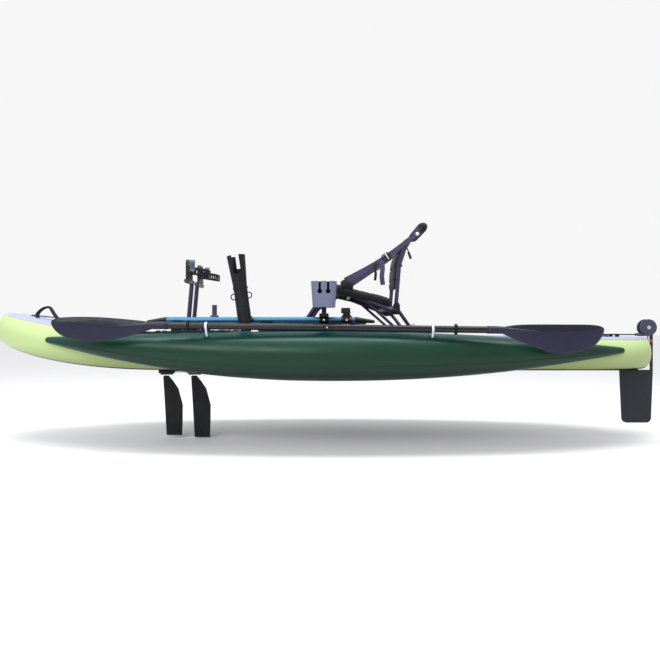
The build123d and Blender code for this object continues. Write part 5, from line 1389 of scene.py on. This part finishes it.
for side, hand in SIDES:
    body, (low, high) = f"{side}_pedal_unit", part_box(f"{side}_pedal_strap")
    middle = (low + high) / 2
    where, half_w, total = toe_loop(low, high)
    parts = [(f"{side}_foot_strap_{label}", where, rise, 0.0070, 0.0030)
             for label, rise in (("upper", RAIL_RISE), ("lower", -RAIL_RISE))]
    for n, k in enumerate(range(4, LOOP_PARTS - 2, 8)):
        p, q = where[k], where[min(k + 3, LOOP_PARTS)]
        parts.append((f"{side}_foot_strap_bridge_{n + 1}", (p, p.lerp(q, 0.5), q), 0, 0.024, 0.0028))
    for name, line, rise, tall, thick in parts:
        path = [Vector((p.x, middle.y + p.y, middle.z + rise + (p.x - low.x) * TOE_SLOPE)) for p in line]
        piece = strap(name, path, (0, 0, 1), tall, thick, fin_rubber, body)
        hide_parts(f"{side}_pedal_strap")
    # The ratchet block stands on the loop's outer side.
    outer_y = middle.y + hand * (half_w + 0.0045)
    ratchet = block(f"{side}_foot_strap_ratchet", (low.x + 0.022, outer_y, middle.z + 0.020),
                    (0.026, 0.008, 0.056),
                    cup_plastic, body, edge=0.0022, waist=0.10)
    for k in range(4):
        tooth_at = (low.x + 0.022, outer_y + hand * 0.0048, middle.z + 0.006 + 0.009 * k)
        tooth = block(f"{side}_ratchet_tooth_{k + 1}", tooth_at, (0.018, 0.0022, 0.0036), gloss_black,
                      body, edge=0.0006)
    # Ribs cross the tread, and the highest lies a little below the plate's top edge.
    rib_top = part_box(f"{side}_pedal")[1].z - RIB_FROM_TOP
    for k in range(7):
        rib = block(f"{side}_tread_rib_{k + 1}", (TREAD_X, middle.y, rib_top - TREAD_PITCH * k),
                    (0.0026, 0.070, 0.0036),
                    soft_rubber, body, edge=0.0006)
print("foot straps: loop", round(total, 3), "m round")

# %% [markdown]
# Each fin shows a pale stay below its drum. The rudder's cheeks each have a bright pivot screw in a
# ring, its cast foot reaches forward over the deck, and two steering line conduits run to it.

# %% Fins and rudder details
PIVOT_X = 1.672
PIVOT_SCREW = ((0.0001, 0.0020), (0.0020, 0.0020), (0.0024, 0.0034), (0.0040, 0.0031), (0.0048, 0.0012),
               (0.0048, -0.003))
CHEEK_RING = ((0.0295, -0.0006), (0.0300, 0.0012), (0.0325, 0.0012), (0.0330, -0.0006))
KNOB = ((0.0001, 0.0090), (0.0040, 0.0086), (0.0062, 0.0060), (0.0050, 0.0030), (0.0040, -0.004))
CONDUIT = ((1.300, 0.060, 0.1745), (1.400, 0.050, 0.1765), (1.500, 0.034, 0.1775),
           (1.608, 0.012, 0.1765))
for label, x in (("front", -0.847), ("rear", -0.701)):
    for side, way in SIDES:
        stay_line = [(x - 0.016, way * 0.0120, -0.0318), (x + 0.010, way * 0.0128, -0.0314),
                     (x + 0.036, way * 0.0120, -0.0318)]
        stay = round_bar(f"{label}_fin_stay_{side}", stay_line, 0.0016, steel, f"{label}_fin_mount", 10)
head_low, head_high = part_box("rudder_head")
for side, way in SIDES:
    y = head_low.y if way < 0 else head_high.y
    screw = turned(f"rudder_pivot_screw_{side}", PIVOT_SCREW, (PIVOT_X, y, 0.2068), (0, way, 0), steel,
                   "rudder_steering", 32)
    ring = turned(f"rudder_cheek_ring_{side}", CHEEK_RING, (PIVOT_X, y, 0.213), (0, way, 0),
                  head_plastic,
                  "rudder_steering", 56)
foot = block("rudder_head_foot", (1.636, 0, 0.1770), (0.046, 0.030, 0.014), head_plastic,
             "rudder_steering", edge=0.004)
for n, (side, hand) in enumerate(SIDES):
    guide = block(f"steering_line_guide_{n + 1}", (1.500, hand * 0.034, 0.1695), (0.020, 0.012, 0.012),
                  black_plastic, "hull")
    conduit_line = smooth_path([(x, hand * y, z) for x, y, z in CONDUIT], 8)
    conduit = round_bar(f"steering_line_conduit_{n + 1}", conduit_line, 0.0030, black_plastic, "hull",
                        10)
knob = turned("rudder_release_knob", KNOB, (1.684, head_low.y + 0.004, 0.1430), (0, -1, 0), red_plastic,
              "rudder_steering", 28)
print("rudder head from", round(head_low.y, 3), "to", round(head_high.y, 3))

# %% [markdown]
# ## The paddle
# Paddle blades are spooned and have a spine, so the water parts evenly. Each is skinned from its
# outline inwards to the spine line, which leaves a real crease that the light picks out, and a
# socket fairs the shaft into the blade.

# %% Paddle blades
BLADE, RISE, NECK, SOCKET_R = 0.470, 0.031, 0.009, 0.0172
SHAFT_BOW_X, SHAFT_BOW_Z, SHAFT_STERN_Z = BOW + 0.475, 0.227, 0.194
LAYERS = (0.985, 0.7, 0.4, 0.15, 0.04)                 # how far in from the outline each ring lies
front_low, front_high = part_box("front_paddle_blade")
tip_front, tip_rear = front_low.x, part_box("rear_paddle_blade")[1].x
blade_y = (front_low.y + front_high.y) / 2
paddle_y = blade_y + 0.006


def paddle_height(x):
    return SHAFT_BOW_Z + (x - SHAFT_BOW_X) / (tip_rear - tip_front) * (SHAFT_STERN_Z - SHAFT_BOW_Z)


def crease_height(x, tip, tip_z, neck_z):
    """Height of a blade's spine line."""
    share = abs(x - tip) / BLADE
    return tip_z + 0.012 + (neck_z - tip_z - 0.012) * share - 0.010 * sin(pi * share)


# Painted shade: the blade faces above the spine line take a darker copy of the navy nylon.
blade_painted_shade = moulded("navy_nylon_painted_shade", "0B0C18", "141628", 0.42, 300, 0.00015, 0.4, coat_weight=0.1)
for label, tip, way, drop in (("front", tip_front, 1, 0.079), ("rear", tip_rear, -1, 0.102)):
    neck_x, centre_x = tip + way * BLADE, tip + way * 0.5 * BLADE
    neck_z, tip_z = paddle_height(neck_x), paddle_height(tip)
    heights = tip, tip_z, neck_z
    edge_points = ((1.0, neck_z - NECK), (0.75, neck_z - 0.58 * drop), (0.42, tip_z - drop),
                   (0.12, tip_z - 0.72 * drop), (0.0, tip_z - 0.05 * drop), (0.06, tip_z + 0.85 * RISE),
                   (0.4, tip_z + RISE), (0.8, neck_z + 0.75 * RISE), (1.0, neck_z + NECK))
    outline = smooth_path([(tip + way * s * BLADE, 0, z) for s, z in edge_points], 12)
    rings = []
    for t, face in [(t, -1) for t in LAYERS] + [(0.0, 0)] + [(t, 1) for t in reversed(LAYERS)]:
        arch, ring = 0.0075 * t ** 0.8, []
        for p in outline:
            spine_x = p.x + (centre_x - p.x) * 0.06
            q = p.lerp(Vector((spine_x, 0, crease_height(spine_x, *heights))), t)
            q.y = blade_y + (face * 0.0016 - arch if face <= 0 else 0.0016 - 0.62 * arch)
            ring.append(q)
        rings.append(ring)
    points, faces = skin(rings)
    middles = [sum((points[n] for n in face), Vector()) / len(face) for face in faces]
    # Faces above the spine line get the painted shade finish.
    above = [1 if m.z > crease_height(m.x, *heights) + 0.0006 else 0 for m in middles]
    blade = add_piece(f"{label}_blade", points, faces, None, "paddle",
                      finishes=(blade_nylon, blade_painted_shade), which=above)
    soften(blade, 0.0006, 1, 50)
    # The socket narrows from the shaft's end into the spine.
    socket_line, socket_r = [], []
    for k in range(15):
        share = 1.10 - 0.62 * k / 14
        x = tip + way * share * BLADE
        height = paddle_height(x) if share > 0.97 else crease_height(x, *heights)
        inward = min(max((1.02 - share) / 0.3, 0), 1)
        socket_line.append(Vector((x, paddle_y * (1 - inward) + (blade_y - 0.0045) * inward, height)))
        socket_r.append(SOCKET_R if share > 0.98 else SOCKET_R - 0.0145 * min((0.98 - share) / 0.42, 1))
    socket = round_bar(f"{label}_blade_socket", socket_line, SOCKET_R, blade_nylon, "paddle", 20,
                       taper=socket_r)
    for piece in (blade, socket):
        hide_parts(f"{label}_paddle_blade")
print("paddle from", round(tip_front, 3), "to", round(tip_rear, 3), "at y", round(paddle_y, 3))

# %% [markdown]
# White loops hold the paddle to the side tube, each on a small round patch. The shaft is made in two
# halves, so a ferrule with a spring button joins it.

# %% Paddle loops and the shaft's joint
LOOP_R, FOOT_ANGLE, FERRULE_X, FERRULE_LONG = 0.0168, radians(52), -0.030, 0.060
LOOP_PATCH = ((0.0001, 0.0014), (0.0125, 0.0014), (0.0150, 0.0008), (0.0154, -0.003))
FERRULE = ((0.0142, -0.0002), (0.0160, 0.001), (0.0162, 0.006), (0.0162, FERRULE_LONG - 0.006),
           (0.0160, FERRULE_LONG - 0.001), (0.0142, FERRULE_LONG + 0.0002))
BUTTON = ((0.0001, 0.0178), (0.0028, 0.0176), (0.0034, 0.0164), (0.0034, 0.0130))
for n, x in enumerate((-0.539, 0.471)):
    z = paddle_height(x)
    ring = [Vector((x, paddle_y + LOOP_R * c, z + LOOP_R * s)) for c, s in circle(28)]
    band = strap(f"paddle_loop_{n + 1}", ring, (1, 0, 0), 0.0105, 0.0018, white_plastic, "paddle",
                 closed=True)
    foot = tube_point(-1, (x, *tube_station(tube_share(x))[1:]), FOOT_ANGLE, 0.0022)
    tail = smooth_path([(x, paddle_y - 0.004, z - 0.0180), (x, paddle_y + 0.002, z - 0.030),
                        foot + Vector((0, -0.002, 0.004)), foot], 6)
    hanger = strap(f"paddle_loop_tail_{n + 1}", tail, (1, 0, 0), 0.0085, 0.0016, white_plastic, "paddle")
    for piece in (band, hanger):
        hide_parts("paddle_loops")
    outward = Vector((0, -cos(FOOT_ANGLE), sin(FOOT_ANGLE)))
    patch = turned(f"paddle_loop_patch_{n + 1}", LOOP_PATCH, foot - outward * 0.0010, outward, seam_tape,
                   "hull")
shaft_way = Vector((tip_rear - tip_front, 0, paddle_height(tip_rear) - paddle_height(tip_front)))
shaft_way.normalize()
button_x = 0.020
button_at = Vector((button_x, paddle_y, paddle_height(button_x))) - shaft_way * 0.020
ferrule = turned("shaft_ferrule", FERRULE, (FERRULE_X, paddle_y, paddle_height(FERRULE_X)), shaft_way,
                 gloss_black, "paddle")
button = turned("shaft_button", BUTTON, button_at, (0, -1, 0), steel, "paddle", 24)
print("paddle loops, ferrule and button made")


# %% [markdown]
# ## Floor and light
# A pale plain floor lies under the boat and white air surrounds it, as in a studio shot. One wide
# soft light comes from the front and left and above, and a long one overhead draws the bright line
# along the tubes.

# %% Floor
FLOOR, FLOOR_REACH = cad_box[0][2] - 0.006, 60.0
corners = [(x * FLOOR_REACH, y * FLOOR_REACH, FLOOR) for x, y in ((-1, -1), (1, -1), (1, 1), (-1, 1))]
floor = plain_object("studio_floor", corners, [(0, 1, 2, 3)])
paper = Finish("studio_paper", "EFEFF2", 0.9, shine=0.1)
paper.relief(paper.noise(3.0, 2.0), 0.002, 0.1)
floor.data.materials.append(paper.material)
print("floor at", round(FLOOR, 3))

# %% [markdown]
# The lights are wide sheets rather than points, as a studio's soft boxes are, so no hard shadow
# falls. The white air fills in what they leave dark.

# %% Lights
AIR = 0.93


def soft_light(name, place, target, size, power, colour):
    lamp = bpy.data.lights.new(name, "AREA")
    lamp.shape, lamp.energy, lamp.color = "RECTANGLE", power, colour
    lamp.size, lamp.size_y = size
    made = bpy.data.objects.new(name, lamp)
    bpy.context.scene.collection.objects.link(made)
    made.location = place
    made.rotation_euler = (Vector(target) - Vector(place)).to_track_quat("-Z", "Y").to_euler()


soft_light("front_soft_light", (-2.2, -4.4, 2.8), (0, 0, 0.2), (4.0, 1.6), 120, (1.0, 0.99, 0.97))
soft_light("overhead_strip", (0.0, -0.6, 3.0), (0, 0, 0.1), (5.0, 0.9), 130, (0.96, 0.98, 1.0))
world = bpy.data.worlds.new("studio_air")
world.use_nodes = True
world.node_tree.nodes["Background"].inputs[0].default_value = (1.0, 1.0, 1.0, 1)
world.node_tree.nodes["Background"].inputs[1].default_value = AIR
bpy.context.scene.world = world
bpy.context.scene.view_settings.view_transform = "Standard"
print("two soft lights, air at", AIR)
